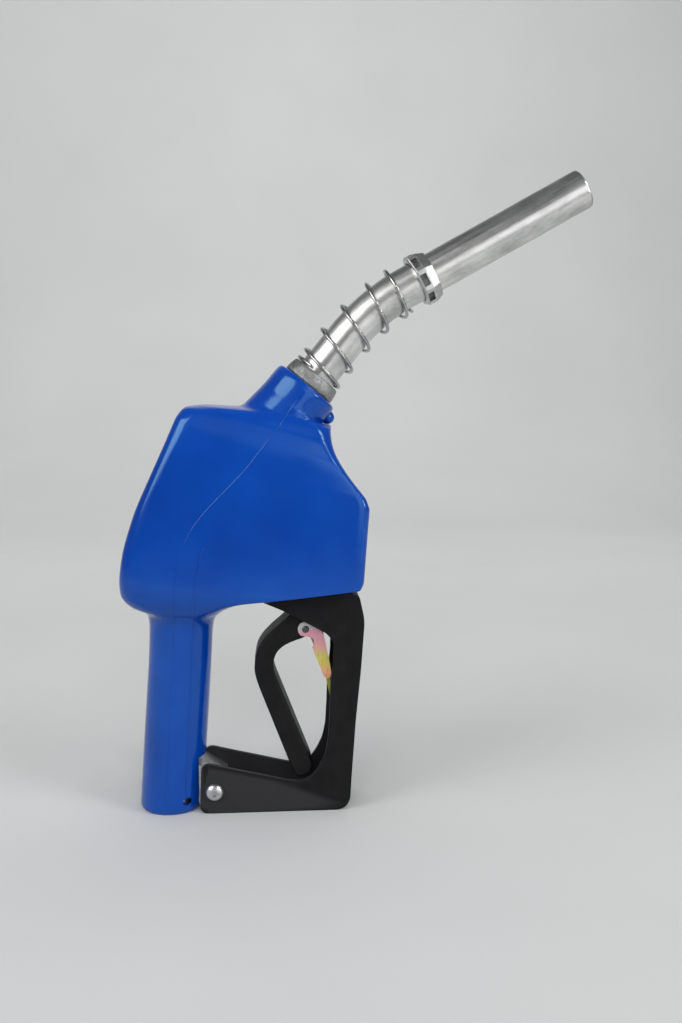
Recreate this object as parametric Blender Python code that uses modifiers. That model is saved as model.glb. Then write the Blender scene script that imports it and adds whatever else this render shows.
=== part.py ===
"""Automatic fuel nozzle: casting, hand cover, spout, lever, guard and valve parts.

World frame: +Z up, +X toward the spout tip, XZ is the plane of symmetry.
All sizes are metres.
"""
import bmesh
import bpy
from math import atan2, cos, pi, radians, sin, sqrt
from mathutils import Matrix, Vector

MM = 0.001
FIT = 0.3 * MM                      # clearance between neighbouring pieces

# overall sizes
HANDLE_LENGTH = 118.0 * MM          # floor to the foot of the valve body
HANDLE_WIDTH = 37.6 * MM
BODY_WIDTH = 62.0 * MM              # across the valve body, along Y
SPOUT_OD = 23.8 * MM
SPOUT_STRAIGHT = 118.0 * MM         # bend to tip
GUARD_WIDTH = 34.0 * MM
GUARD_WALL = 3.0 * MM

# hand cover and casting
COVER_WALL = 2.4 * MM
CASTING_INSET = 3.6 * MM
NECK_OD = 41.0 * MM
INLET_BORE = 26.6 * MM
INLET_DEPTH = 20.0 * MM
HANDLE_BORE = 22.0 * MM
LUG_WIDTH = 27.4 * MM
LUG_NECK_WIDTH = 18.0 * MM          # where the lug passes through the cover

# neck and spout
NECK_ANGLE = radians(50.5)
TIP_ANGLE = radians(29.0)
NECK_BORE = 29.0 * MM
ADAPTER_OD = 33.0 * MM
ADAPTER_HEIGHT = 8.2 * MM
SPOUT_WALL = 1.7 * MM
BEND_START = 36.5 * MM
BEND_RADIUS = 120.0 * MM
COIL_WIRE = 2.0 * MM
COIL_DIAMETER = 28.8 * MM
COLLAR_ACROSS = 30.0 * MM           # across the flats of the octagon
COLLAR_FROM_TIP = 111.8 * MM
VENT_OD = 5.0 * MM

# lever, guard and clip
LEVER_WIDTH = 22.8 * MM
CLIP_SHEET = 1.4 * MM
RIVET_D = 4.0 * MM
PIN_D = 5.0 * MM
SCREW_D = 5.8 * MM

# valve train, measured along its two axes
STEM_D = 6.0 * MM
STEM_ANGLE = radians(158.0)
VALVE_BORE = 34.0 * MM
SEAT_OD = 29.4 * MM
SEAT_BORE = 19.0 * MM
LATCH_ANGLE = radians(138.0)
PLUNGER_D = 10.0 * MM
SLEEVE_OD = 19.0 * MM
SLEEVE_BORE = 15.2 * MM
BALL_D = 3.2 * MM
DIAPHRAGM_D = 45.0 * MM

BLUE = (0.012, 0.075, 0.42)
BLACK = (0.012, 0.012, 0.013)
CAST = (0.40, 0.41, 0.41)
BRIGHT = (0.72, 0.72, 0.71)
STEEL = (0.55, 0.56, 0.57)
BRASS = (0.72, 0.52, 0.22)
RUBBER = (0.02, 0.02, 0.02)
ZINC_YELLOW = (0.72, 0.60, 0.26)


# ---------------------------------------------------------------- set-up

for old in list(bpy.data.objects):
    bpy.data.objects.remove(old, do_unlink=True)

PARTS = bpy.data.collections.new("fuel_nozzle")
CUTTERS = bpy.data.collections.new("cutters")
bpy.context.scene.collection.children.link(PARTS)
bpy.context.scene.collection.children.link(CUTTERS)


def material(name, colour, roughness, metallic):
    """Principled material for one piece."""
    mat = bpy.data.materials.new(name)
    mat.use_nodes = True
    shader = mat.node_tree.nodes["Principled BSDF"]
    shader.inputs["Base Color"].default_value = (*colour, 1.0)
    shader.inputs["Roughness"].default_value = roughness
    shader.inputs["Metallic"].default_value = metallic
    mat.diffuse_color = (*colour, 1.0)
    return mat


def piece(obj, name, colour, roughness=0.5, metallic=0.0):
    """Names a finished object and files it with the parts."""
    obj.name = name
    obj.data.name = name
    obj.data.materials.clear()
    obj.data.materials.append(material(name + "_mat", colour, roughness, metallic))
    for coll in list(obj.users_collection):
        coll.objects.unlink(obj)
    PARTS.objects.link(obj)
    return obj


def from_bmesh(bm, name="work"):
    bmesh.ops.recalc_face_normals(bm, faces=bm.faces[:])
    mesh = bpy.data.meshes.new(name)
    bm.to_mesh(mesh)
    bm.free()
    obj = bpy.data.objects.new(name, mesh)
    CUTTERS.objects.link(obj)
    return obj


def cut(obj, tool, how="DIFFERENCE"):
    """Exact Boolean of one object by a tool."""
    tool.hide_render = True
    tool.display_type = "WIRE"
    mod = obj.modifiers.new(how.lower() + "_" + tool.name, "BOOLEAN")
    mod.operation = how
    mod.object = tool
    mod.solver = "EXACT"
    return obj


def join(obj, tool):
    return cut(obj, tool, "UNION")


def smooth(obj, angle=35.0):
    obj.data.shade_smooth()
    obj.data.set_sharp_from_angle(angle=radians(angle))
    return obj


def bevel(obj, width, segments=2, angle=40.0):
    mod = obj.modifiers.new("bevel", "BEVEL")
    mod.width = width
    mod.segments = segments
    mod.limit_method = "ANGLE"
    mod.angle_limit = radians(angle)
    return obj


# ---------------------------------------------------------------- placing

def body_point(x, z):
    """Point in the XZ plane, z counted from the foot of the valve body (mm in)."""
    return Vector((x * MM, 0.0, HANDLE_LENGTH + z * MM))


def axis_matrix(origin, angle):
    """Local Z runs along the angle in the XZ plane, local Y stays along world Y."""
    turn = Matrix.Rotation(pi / 2 - angle, 4, "Y")
    return Matrix.Translation(origin) @ turn


STEM_AT = body_point(80.0, 9.0)
PIVOT_AT = body_point(94.0, 26.0)
NECK_AT = body_point(84.4, 135.2)
STEM_AXIS = axis_matrix(STEM_AT, STEM_ANGLE)
LATCH_AXIS = axis_matrix(PIVOT_AT, LATCH_ANGLE)
NECK_AXIS = axis_matrix(NECK_AT, NECK_ANGLE)


# ---------------------------------------------------------------- shapes

def lathe(profile, frame, steps=18):
    """Closed solid of revolution; profile is (radius, height) in mm, top to bottom."""
    bm = bmesh.new()
    points = [(r * MM, h * MM) for r, h in profile]
    verts = [bm.verts.new((r, 0.0, h)) for r, h in points]
    closed = points[0][0] > 0 or points[-1][0] > 0
    count = len(verts) if closed else len(verts) - 1
    for i in range(count):
        bm.edges.new((verts[i], verts[(i + 1) % len(verts)]))
    mesh = bpy.data.meshes.new("lathe")
    bm.to_mesh(mesh)
    bm.free()
    obj = bpy.data.objects.new("lathe", mesh)
    CUTTERS.objects.link(obj)
    obj.matrix_world = frame
    mod = obj.modifiers.new("screw", "SCREW")
    mod.axis = "Z"
    mod.steps = steps
    mod.render_steps = steps
    mod.use_merge_vertices = True
    mod.merge_threshold = 0.00001
    mod.use_smooth_shade = True
    return obj


def rod(radius, low, high, frame, steps=18):
    return lathe([(0.0, high), (radius, high), (radius, low), (0.0, low)], frame, steps)


def tube(outer, inner, low, high, frame, steps=18):
    return lathe([(outer, high), (outer, low), (inner, low), (inner, high)], frame, steps)


def prism(outline, width, centre=0.0):
    """Outline in the XZ plane (metres) extruded along Y."""
    bm = bmesh.new()
    near = [bm.verts.new((p[0], centre - width / 2, p[1])) for p in outline]
    far = [bm.verts.new((p[0], centre + width / 2, p[1])) for p in outline]
    bm.faces.new(near)
    bm.faces.new(list(reversed(far)))
    for i in range(len(near)):
        j = (i + 1) % len(near)
        bm.faces.new((near[j], near[i], far[i], far[j]))
    return from_bmesh(bm, "prism")


def hexagon(across, low, high, frame):
    """Hexagonal bar along the local Z of a frame, sizes in mm."""
    bm = bmesh.new()
    radius = across * MM / sqrt(3.0)
    bmesh.ops.create_cone(bm, cap_ends=True, segments=6, radius1=radius, radius2=radius,
                          depth=(high - low) * MM)
    obj = from_bmesh(bm, "hexagon")
    obj.matrix_world = frame @ Matrix.Translation((0.0, 0.0, (high + low) / 2 * MM))
    return obj


def box(low, high):
    bm = bmesh.new()
    bmesh.ops.create_cube(bm, size=1.0)
    size = Vector(high) - Vector(low)
    middle = (Vector(high) + Vector(low)) / 2
    for v in bm.verts:
        v.co = Vector([v.co[i] * size[i] + middle[i] for i in range(3)])
    return from_bmesh(bm, "box")


def wire(points, radius, resolution=1):
    """Round wire along points (metres), closed at both ends."""
    curve = bpy.data.curves.new("wire", "CURVE")
    curve.dimensions = "3D"
    curve.bevel_depth = radius
    curve.bevel_resolution = resolution
    curve.use_fill_caps = True
    spline = curve.splines.new("POLY")
    spline.points.add(len(points) - 1)
    for point, at in zip(spline.points, points):
        point.co = (*at, 1.0)
    holder = bpy.data.objects.new("wire_curve", curve)
    CUTTERS.objects.link(holder)
    bpy.context.view_layer.update()
    solved = holder.evaluated_get(bpy.context.evaluated_depsgraph_get())
    mesh = bpy.data.meshes.new_from_object(solved)
    bpy.data.objects.remove(holder, do_unlink=True)
    bm = bmesh.new()
    bm.from_mesh(mesh)
    bmesh.ops.remove_doubles(bm, verts=bm.verts[:], dist=0.00001)
    bpy.data.meshes.remove(mesh)
    return smooth(from_bmesh(bm, "wire"), 60.0)


def coil(radius, low, high, turns, frame, per_turn=9):
    """Helix points (radius and heights in mm) with flat closed end turns."""
    points = []
    count = int(turns * per_turn)
    dead = 0.75 / turns
    for i in range(count + 1):
        t = i / count
        rise = min(max((t - dead * 0.5) / (1.0 - dead), 0.0), 1.0)
        height = low + (high - low) * rise
        angle = 2 * pi * turns * t
        local = Vector((radius * cos(angle), radius * sin(angle), height)) * MM
        points.append(frame @ local)
    return points


# ---------------------------------------------------------------- body loft

def cover_stations():
    """Sections up the body: left edge, right edge, half width along Y, corner radius."""
    half = BODY_WIDTH / MM / 2
    grip = HANDLE_WIDTH / MM / 2
    foot = -HANDLE_LENGTH / MM
    neck = NECK_OD / MM / 2
    n = (sin(NECK_ANGLE), cos(NECK_ANGLE))
    cx = NECK_AT.x / MM
    cz = (NECK_AT.z - HANDLE_LENGTH) / MM

    def across(back, radius, half_width, corner):
        x = cx - back * n[1]
        z = cz - back * n[0]
        left = (x - radius * n[0], z + radius * n[1])
        right = (x + radius * n[0], z - radius * n[1])
        return (left, right, half_width, corner)

    def grip_at(part, shrink=0.0):
        x = 0.4 + 8.8 * part
        z = foot * (1.0 - part)
        r = grip - shrink
        return ((x - r, z), (x + r, z), r, r * 0.96)

    lift = 0.0166
    rows = [
        grip_at(0.0, 1.8),
        grip_at(lift, 0.5),
        grip_at(lift * 3),
        grip_at(0.12),
        grip_at(0.45),
        grip_at(0.80, 0.2),
        ((-10.4, -4.0), (26.8, -8.0), 19.0, 18.0),
        ((-11.4, 3.0), (28.4, -1.0), 21.0, 18.0),
        ((-20.4, 8.2), (33.6, 5.2), 26.0, 15.0),
        ((-24.6, 14.5), (43.6, 10.4), half - 1.5, 13.0),
        ((-25.0, 24.0), (72.0, 12.6), half, 12.0),
        ((-23.6, 35.0), (110.0, 17.6), half, 11.0),
        ((-21.5, 45.1), (114.6, 24.0), half, 11.0),
        ((-14.8, 65.1), (116.8, 44.0), half, 11.0),
        ((-6.0, 84.0), (118.4, 64.6), half, 11.0),
        ((2.8, 103.0), (116.6, 71.0), half, 11.0),
        ((9.3, 118.0), (105.6, 84.6), half - 1.0, 12.0),
        ((13.4, 123.4), (98.2, 97.4), half - 3.0, 13.0),
        ((22.8, 124.4), (96.6, 108.0), half - 5.5, 15.0),
        ((44.6, 123.6), (98.0, 114.0), half - 8.0, 19.0),
        across(12.0, neck + 0.2, neck + 0.4, neck * 0.96),
        across(4.0, neck, neck, neck * 0.96),
        across(0.8, neck - 0.9, neck - 0.9, (neck - 0.9) * 0.96),
        across(0.0, neck - 2.8, neck - 2.8, (neck - 2.8) * 0.96),
    ]
    return rows


def inset_chain(points, amount, side):
    """Moves a chain of (x, z) points sideways by an even distance, mitred at the corners."""
    moved = []
    for i, point in enumerate(points):
        normals = []
        for a, b in ((i - 1, i), (i, i + 1)):
            if a < 0 or b >= len(points):
                continue
            along = Vector((points[b][0] - points[a][0], points[b][1] - points[a][1])).normalized()
            normals.append(Vector((along.y, -along.x)) * side)
        total = normals[0] + normals[-1]
        shift = total * (amount / (1.0 + normals[0].dot(normals[-1])))
        moved.append((point[0] + shift.x, point[1] + shift.y))
    return moved


def inset_stations(stations, amount):
    """The same sections drawn in by an even amount (metres)."""
    a = amount / MM
    left = inset_chain([s[0] for s in stations], a, 1.0)
    right = inset_chain([s[1] for s in stations], a, -1.0)
    drawn = []
    for l, r, station in zip(left, right, stations):
        drawn.append((l, r, station[2] - a, max(station[3] - a, 4.0)))
    return drawn


def ring(station, per_corner=4):
    """Rounded rectangle standing on the chord between left and right."""
    left, right, half, corner = station
    a = body_point(*left)
    b = body_point(*right)
    middle = (a + b) / 2
    along = (b - a).normalized()
    reach = (b - a).length / 2
    corner = min(corner * MM, reach * 0.96, half * MM * 0.96)
    points = []
    for quarter in range(4):
        sx = (1, -1, -1, 1)[quarter]
        sy = (1, 1, -1, -1)[quarter]
        for k in range(per_corner):
            angle = quarter * pi / 2 + k / (per_corner - 1) * pi / 2
            dx = sx * (reach - corner) + corner * cos(angle)
            dy = sy * (half * MM - corner) + corner * sin(angle)
            points.append(middle + along * dx + Vector((0.0, dy, 0.0)))
    return points


def loft(stations, closed):
    """Skin through the sections: capped, or run back inside itself when closed."""
    bm = bmesh.new()
    rings = []
    for station in stations:
        rings.append([bm.verts.new(p) for p in ring(station)])
    count = len(rings[0])
    pairs = list(zip(rings, rings[1:]))
    if closed:
        pairs.append((rings[-1], rings[0]))
    for lower, upper in pairs:
        for i in range(count):
            j = (i + 1) % count
            bm.faces.new((lower[i], lower[j], upper[j], upper[i]))
    if not closed:
        bm.faces.new(list(reversed(rings[0])))
        bm.faces.new(rings[-1])
    return from_bmesh(bm, "loft")


# ---------------------------------------------------------------- outer pieces

HANDLE_AXIS = axis_matrix(Vector((0.4 * MM, 0.0, 0.0)), atan2(118.0, 8.8))
SPOUT_R = SPOUT_OD / MM / 2
SPOUT_IN = SPOUT_R - SPOUT_WALL / MM
GAP = FIT / MM
GUARD_HALF = GUARD_WIDTH / MM / 2
LUG_START = 18.0                             # mm, where the lug widens outside the cover
SCREW_AT = Vector((27.3 * MM, 0.0, 13.8 * MM))
SIDE = Matrix.Rotation(pi / 2, 4, "X")       # local Z toward the near side


def across_y(x, z):
    """Frame at a point of the XZ plane (metres) whose local Z is world -Y."""
    return Matrix.Translation((x, 0.0, z)) @ SIDE


def pocket_outline():
    """Lever pocket on the underside of the valve body."""
    spots = ((56.8, 1.0), (66.5, 25.8), (75.5, 27.8), (89.0, 42.8),
             (98.0, 42.8), (107.0, 34.0), (107.0, 1.0))
    return [(body_point(x, z).x, body_point(x, z).z) for x, z in spots]


def passage_axis():
    return axis_matrix(body_point(38.0, 26.0), atan2(61.0, 12.0))


def casting():
    obj = loft(inset_stations(cover_stations(), CASTING_INSET)[1:-1], False)
    boss = INLET_BORE / MM / 2 + 1.9
    join(obj, rod(boss, 1.7, 24.0, HANDLE_AXIS))
    join(obj, rod(16.9, -14.0, -GAP, NECK_AXIS))
    join(obj, rod(8.0, 18.6, 42.0, STEM_AXIS, 24))
    lug_neck = [(8.0, 4.6), (22.0, 4.6), (22.0, 26.9), (19.5, 28.5), (8.0, 31.6)]
    join(obj, prism([(x * MM, z * MM) for x, z in lug_neck], LUG_NECK_WIDTH))
    lug = [(LUG_START, 4.6), (34.2, 4.6), (34.2, 19.2), (19.5, 28.5), (LUG_START, 28.9)]
    join(obj, prism([(x * MM, z * MM) for x, z in lug], LUG_WIDTH))
    cut(obj, prism(pocket_outline(), GUARD_WIDTH + 2 * FIT))
    cut(obj, rod(INLET_BORE / MM / 2, -2.0, INLET_DEPTH / MM, HANDLE_AXIS))
    reach = HANDLE_LENGTH / MM + 36.0
    cut(obj, rod(HANDLE_BORE / MM / 2, INLET_DEPTH / MM - 1.0, reach, HANDLE_AXIS))
    valve = VALVE_BORE / MM / 2
    seat = SEAT_OD / MM / 2 + GAP
    cut(obj, lathe([(0.0, 125.0), (valve + 1.3, 125.0), (valve + 1.3, 96.0), (valve, 96.0),
                    (valve, 59.6), (seat, 59.6), (seat, 54.0), (10.6, 54.0), (10.6, 39.0),
                    (STEM_D / MM / 2 + 0.4, 39.0), (STEM_D / MM / 2 + 0.4, 31.0),
                    (5.8, 31.0), (5.8, 5.0), (0.0, 5.0)], STEM_AXIS))
    sleeve = SLEEVE_OD / MM / 2 + GAP
    membrane = DIAPHRAGM_D / MM / 2 + 0.5
    cut(obj, lathe([(0.0, 140.0), (membrane, 140.0), (membrane, 96.0), (17.0, 96.0),
                    (17.0, 90.0), (sleeve + 2.6, 90.0), (sleeve + 2.6, 87.0),
                    (sleeve, 87.0), (sleeve, 8.0), (0.0, 8.0)], LATCH_AXIS))
    oval = rod(10.0, 0.0, 72.0, passage_axis() @ Matrix.Diagonal((1.0, 1.85, 1.0, 1.0)))
    cut(obj, oval)
    neck = NECK_BORE / MM / 2
    cut(obj, lathe([(0.0, 5.0), (neck, 5.0), (neck, -36.0), (12.0, -36.0), (12.0, -50.0),
                    (0.0, -50.0)], NECK_AXIS))
    cut(obj, rod(2.8, SPOUT_R - 1.9, 26.0, set_screw_axis(), 16))
    cut(obj, rod(SCREW_D / MM / 2 + GAP, -20.0, 20.0, across_y(SCREW_AT.x, SCREW_AT.z), 24))
    for spot in diaphragm_screws():
        cut(obj, rod(1.9, 86.5, 99.0, spot, 8))
    return piece(obj, "body_casting", CAST, 0.45, 1.0)


def set_screw_axis():
    """Radial frame on the underside of the neck."""
    base = NECK_AXIS @ Vector((0.0, 0.0, -7.0 * MM))
    return axis_matrix(base, NECK_ANGLE - pi / 2)


def diaphragm_screws():
    radius = DIAPHRAGM_D / 2 - 3.0 * MM
    frames = []
    for k in range(4):
        angle = (k + 0.5) * pi / 2
        shift = Matrix.Translation((radius * cos(angle), radius * sin(angle), 0.0))
        frames.append(LATCH_AXIS @ shift)
    return frames


def guard_profile():
    """Side plate of the lever guard."""
    low = [(18.6, 3.4), (20.4, 0.6), (23.0, 0.0), (101.0, 0.0), (105.4, 1.6), (108.2, 6.0),
           (109.4, 25.4)]
    side = [(111.6, -62.0), (114.6, -31.5), (116.6, -4.0), (116.2, 0.6), (113.8, 11.5),
            (112.6, 13.4), (110.0, 13.4), (110.0, 16.4), (106.2, 16.4), (106.2, 24.0),
            (72.0, 24.0), (67.2, 14.2), (57.0, 13.6), (52.7, 11.4), (69.0, 4.3),
            (94.2, -9.5), (98.4, -15.0), (98.1, -27.2), (96.4, -41.0), (95.8, -60.0)]
    heel = [(95.0, 44.0), (93.2, 35.0), (89.4, 27.0), (85.4, 21.6), (80.1, 18.6),
            (70.8, 19.2), (56.0, 22.8), (36.5, 27.4), (23.8, 30.6), (19.6, 28.6)]
    points = [(x * MM, z * MM) for x, z in low]
    points += [(body_point(x, z).x, body_point(x, z).z) for x, z in side]
    points += [(x * MM, z * MM) for x, z in heel]
    return points


def guard_channel():
    """Space between the two side plates, open toward the lever."""
    wall = GUARD_WALL / MM
    low = [(10.0, 40.0), (10.0, -5.0), (36.0, -5.0), (36.0, wall), (100.6, wall),
           (103.6, 4.2), (105.4, 7.4), (109.4 - wall, 25.4)]
    side = [(111.6 - wall, -62.0), (114.6 - wall, -31.5), (116.4 - wall, -4.0),
            (110.6 - wall, 12.0), (110.2 - wall, 17.4), (110.2 - wall, 30.0), (40.0, 30.0)]
    points = [(x * MM, z * MM) for x, z in low]
    points += [(body_point(x, z).x, body_point(x, z).z) for x, z in side]
    return points


def lever_guard():
    obj = prism(guard_profile(), GUARD_WIDTH)
    bevel(obj, 0.9 * MM, 2, 50.0)
    cut(obj, prism(guard_channel(), GUARD_WIDTH - 2 * GUARD_WALL))
    for k in range(4):
        at = body_point(109.7 + 0.5 * k, -44.0 + 6.0 * k)
        cut(obj, rod(1.6, -9.0, 9.0, across_y(at.x, at.z), 8))
    cut(obj, rod(SCREW_D / MM / 2 + GAP, -25.0, 25.0, across_y(SCREW_AT.x, SCREW_AT.z), 24))
    return piece(obj, "lever_guard", BLACK, 0.45)


def hand_cover():
    skin = cover_stations()
    obj = loft(skin + inset_stations(skin, COVER_WALL)[::-1], True)
    boss = INLET_BORE / MM / 2 + 1.9 + GAP
    dome = lathe([(0.0, 24.6), (1.7, 24.2), (3.1, 23.0), (3.9, 21.4), (4.1, 19.0),
                  (0.0, 19.0)], set_screw_axis(), 16)
    join(obj, dome)
    cut(obj, rod(boss + 0.4, -2.0, 3.6, HANDLE_AXIS, 24))
    cut(obj, rod(16.9 + GAP, -5.0, 4.0, NECK_AXIS))
    slot = [(47.0, -4.0), (112.0, -4.0), (112.0, 15.6), (108.0, 22.0), (47.0, 22.0)]
    spots = [(body_point(x, z).x, body_point(x, z).z) for x, z in slot]
    cut(obj, prism(spots, GUARD_WIDTH + 2 * FIT))
    for start, width in ((8.6, LUG_NECK_WIDTH), (LUG_START - GAP, LUG_WIDTH)):
        gate = [(start, 4.2), (40.0, 4.2), (40.0, 33.0), (start, 33.0)]
        cut(obj, prism([(x * MM, z * MM) for x, z in gate], width + 2 * FIT))
    cut(obj, rod(2.4, 5.0, 30.0, across_y(11.0 * MM, 7.7 * MM), 16))
    return piece(obj, "hand_cover", BLUE, 0.28)


def adapter():
    inner = SPOUT_R + GAP
    plug = NECK_BORE / MM / 2 - GAP
    rim = ADAPTER_OD / MM / 2
    top = ADAPTER_HEIGHT / MM
    obj = lathe([(inner, top), (rim - 2.0, top), (rim - 1.4, top - 0.7), (rim, 2.0),
                 (rim, GAP), (plug, GAP), (plug, -16.0), (8.0, -16.0), (8.0, -12.6),
                 (inner, -12.6)], NECK_AXIS, 32)
    cut(obj, rod(2.6, SPOUT_R - 1.4, 18.0, set_screw_axis(), 16))
    return piece(obj, "spout_adapter", CAST, 0.6, 1.0)


def spout_path(start):
    """Centre line points and directions of the spout, from the adapter to the tip."""
    n = Vector((cos(NECK_ANGLE), 0.0, sin(NECK_ANGLE)))
    t = Vector((cos(TIP_ANGLE), 0.0, sin(TIP_ANGLE)))
    side = Vector((sin(NECK_ANGLE), 0.0, -cos(NECK_ANGLE)))
    centre = NECK_AT + n * BEND_START + side * BEND_RADIUS
    path = [(NECK_AT + n * start, n)]
    sweep = NECK_ANGLE - TIP_ANGLE
    count = 6
    for k in range(count + 1):
        angle = NECK_ANGLE - sweep * k / count
        out = Vector((-sin(angle), 0.0, cos(angle)))
        path.append((centre + out * BEND_RADIUS, Vector((cos(angle), 0.0, sin(angle)))))
    end = path[-1][0] + t * SPOUT_STRAIGHT
    path.append((end, t))
    return path


def path_point(length):
    """Point, direction and outward normal of the spout centre line at a length (mm)."""
    s = length * MM
    arc = (NECK_ANGLE - TIP_ANGLE) * BEND_RADIUS
    side = Vector((sin(NECK_ANGLE), 0.0, -cos(NECK_ANGLE)))
    n = Vector((cos(NECK_ANGLE), 0.0, sin(NECK_ANGLE)))
    if s < BEND_START:
        angle = NECK_ANGLE
        at = NECK_AT + n * s
    else:
        turned = min(s - BEND_START, arc)
        angle = NECK_ANGLE - turned / BEND_RADIUS
        centre = NECK_AT + n * BEND_START + side * BEND_RADIUS
        at = centre + Vector((-sin(angle), 0.0, cos(angle))) * BEND_RADIUS
        rest = s - BEND_START - turned
        at = at + Vector((cos(angle), 0.0, sin(angle))) * rest
    direction = Vector((cos(angle), 0.0, sin(angle)))
    return at, direction, Vector((-sin(angle), 0.0, cos(angle)))


def sweep_tube(stations, steps=28):
    """Tube through (point, direction, outer radius, inner radius) rings."""
    bm = bmesh.new()
    rings = []
    order = [(p, d, outer) for p, d, outer, inner in stations]
    order += [(p, d, inner) for p, d, outer, inner in reversed(stations)]
    for p, d, radius in order:
        up = Vector((-d.z, 0.0, d.x))
        loop = []
        for k in range(steps):
            a = 2 * pi * k / steps
            loop.append(bm.verts.new(p + up * radius * cos(a) + Vector((0, radius * sin(a), 0))))
        rings.append(loop)
    for i in range(len(rings)):
        lower = rings[i]
        upper = rings[(i + 1) % len(rings)]
        for k in range(steps):
            j = (k + 1) % steps
            bm.faces.new((lower[k], lower[j], upper[j], upper[k]))
    return from_bmesh(bm, "sweep")


def spout_tube():
    outer = SPOUT_OD / 2
    inner = outer - SPOUT_WALL
    path = spout_path(-12.0 * MM)
    tip, t = path[-1]
    rings = [(p, d, outer, inner) for p, d in path[:-1]]
    rings.append((tip - t * 1.2 * MM, t, outer, inner))
    rings.append((tip - t * 0.4 * MM, t, outer - 0.35 * MM, inner + 0.15 * MM))
    rings.append((tip, t, outer - 0.8 * MM, inner + 0.35 * MM))
    obj = sweep_tube(rings)
    smooth(obj, 40.0)
    port = axis_matrix(tip - t * 14.0 * MM, TIP_ANGLE - pi / 2)
    cut(obj, rod(1.8, SPOUT_IN - 2.0, SPOUT_R + 2.0, port, 12))
    return piece(obj, "spout_tube", BRIGHT, 0.3, 1.0)


def vent_tube():
    radius = VENT_OD / 2
    offset = SPOUT_OD / 2 - SPOUT_WALL - radius - FIT
    total = (BEND_START + (NECK_ANGLE - TIP_ANGLE) * BEND_RADIUS + SPOUT_STRAIGHT) / MM
    rings = []
    for length in (-10.0, BEND_START / MM, 44.0, 52.0, 60.0, 68.0, 76.0, 81.5, total - 10.0):
        p, d, out = path_point(length)
        rings.append((p - out * offset, d, radius, radius - 0.8 * MM))
    obj = sweep_tube(rings, 10)
    return piece(smooth(obj), "vent_tube", STEEL, 0.35, 1.0)


def spout_collar():
    """Octagonal ring: a pocket in the base half of each flat, a chamfer toward the tip."""
    tip, t = spout_path(0.0)[-1]
    frame = axis_matrix(tip, TIP_ANGLE)
    back = -COLLAR_FROM_TIP / MM
    flat = COLLAR_ACROSS / MM / 2
    corner = flat / cos(pi / 8)
    inner = SPOUT_R + GAP
    frame = frame @ Matrix.Rotation(radians(7.0), 4, "Z")
    turned = frame @ Matrix.Rotation(pi / 8, 4, "Z")
    obj = lathe([(0.0, back + 10.6), (inner + 2.0, back + 10.6), (corner, back + 6.0),
                 (corner, back + 0.8), (corner - 0.8, back), (0.0, back)], turned, 8)
    cut(obj, rod(inner, back - 1.0, back + 12.0, frame, 36))
    bm = bmesh.new()
    for k in range(8):
        turn = Matrix.Rotation(2 * pi * k / 8, 4, "Z")
        place = turn @ Matrix.Translation((flat * MM, 0.0, (back + 3.0) * MM))
        size = Matrix.Diagonal((3.0 * MM, 7.2 * MM, 3.8 * MM, 1.0))
        bmesh.ops.create_cube(bm, size=1.0, matrix=place @ size)
    pockets = from_bmesh(bm, "pockets")
    pockets.matrix_world = frame
    cut(obj, pockets)
    return piece(obj, "spout_collar", BRIGHT, 0.22, 1.0)


def anchor_spring():
    """Hanging coil wound loosely on the spout between adapter and collar."""
    start = ADAPTER_HEIGHT / MM + COIL_WIRE / MM / 2 + GAP
    marks = [(-0.18, start), (0.0, start + 0.3), (0.5, start + 1.1), (1.0, start + 6.0),
             (1.5, start + 12.9), (2.0, start + 21.1), (2.5, start + 29.1),
             (3.0, start + 37.4), (3.5, start + 46.4), (4.0, start + 54.3),
             (4.5, start + 62.5), (5.0, start + 66.1), (5.45, start + 68.8)]
    points = []
    count = 96
    radius = COIL_DIAMETER / 2
    for i in range(count + 1):
        turn = marks[0][0] + (marks[-1][0] - marks[0][0]) * i / count
        for (a, low), (b, high) in zip(marks, marks[1:]):
            if a <= turn <= b:
                length = low + (high - low) * (turn - a) / (b - a)
        at, direction, out = path_point(length)
        angle = 2 * pi * turn
        points.append(at + out * radius * cos(angle) + Vector((0, radius * sin(angle), 0)))
    return piece(wire(points, COIL_WIRE / 2, 1), "anchor_spring", STEEL, 0.25, 1.0)


def set_screw():
    obj = rod(2.3, SPOUT_R + 0.35, 16.6, set_screw_axis(), 16)
    cut(obj, hexagon(2.5, 14.6, 18.0, set_screw_axis()))
    return piece(obj, "spout_set_screw", STEEL, 0.4, 1.0)


# ---------------------------------------------------------------- lever, clip, fasteners

CLIP_AT = body_point(81.9, -7.6)


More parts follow.
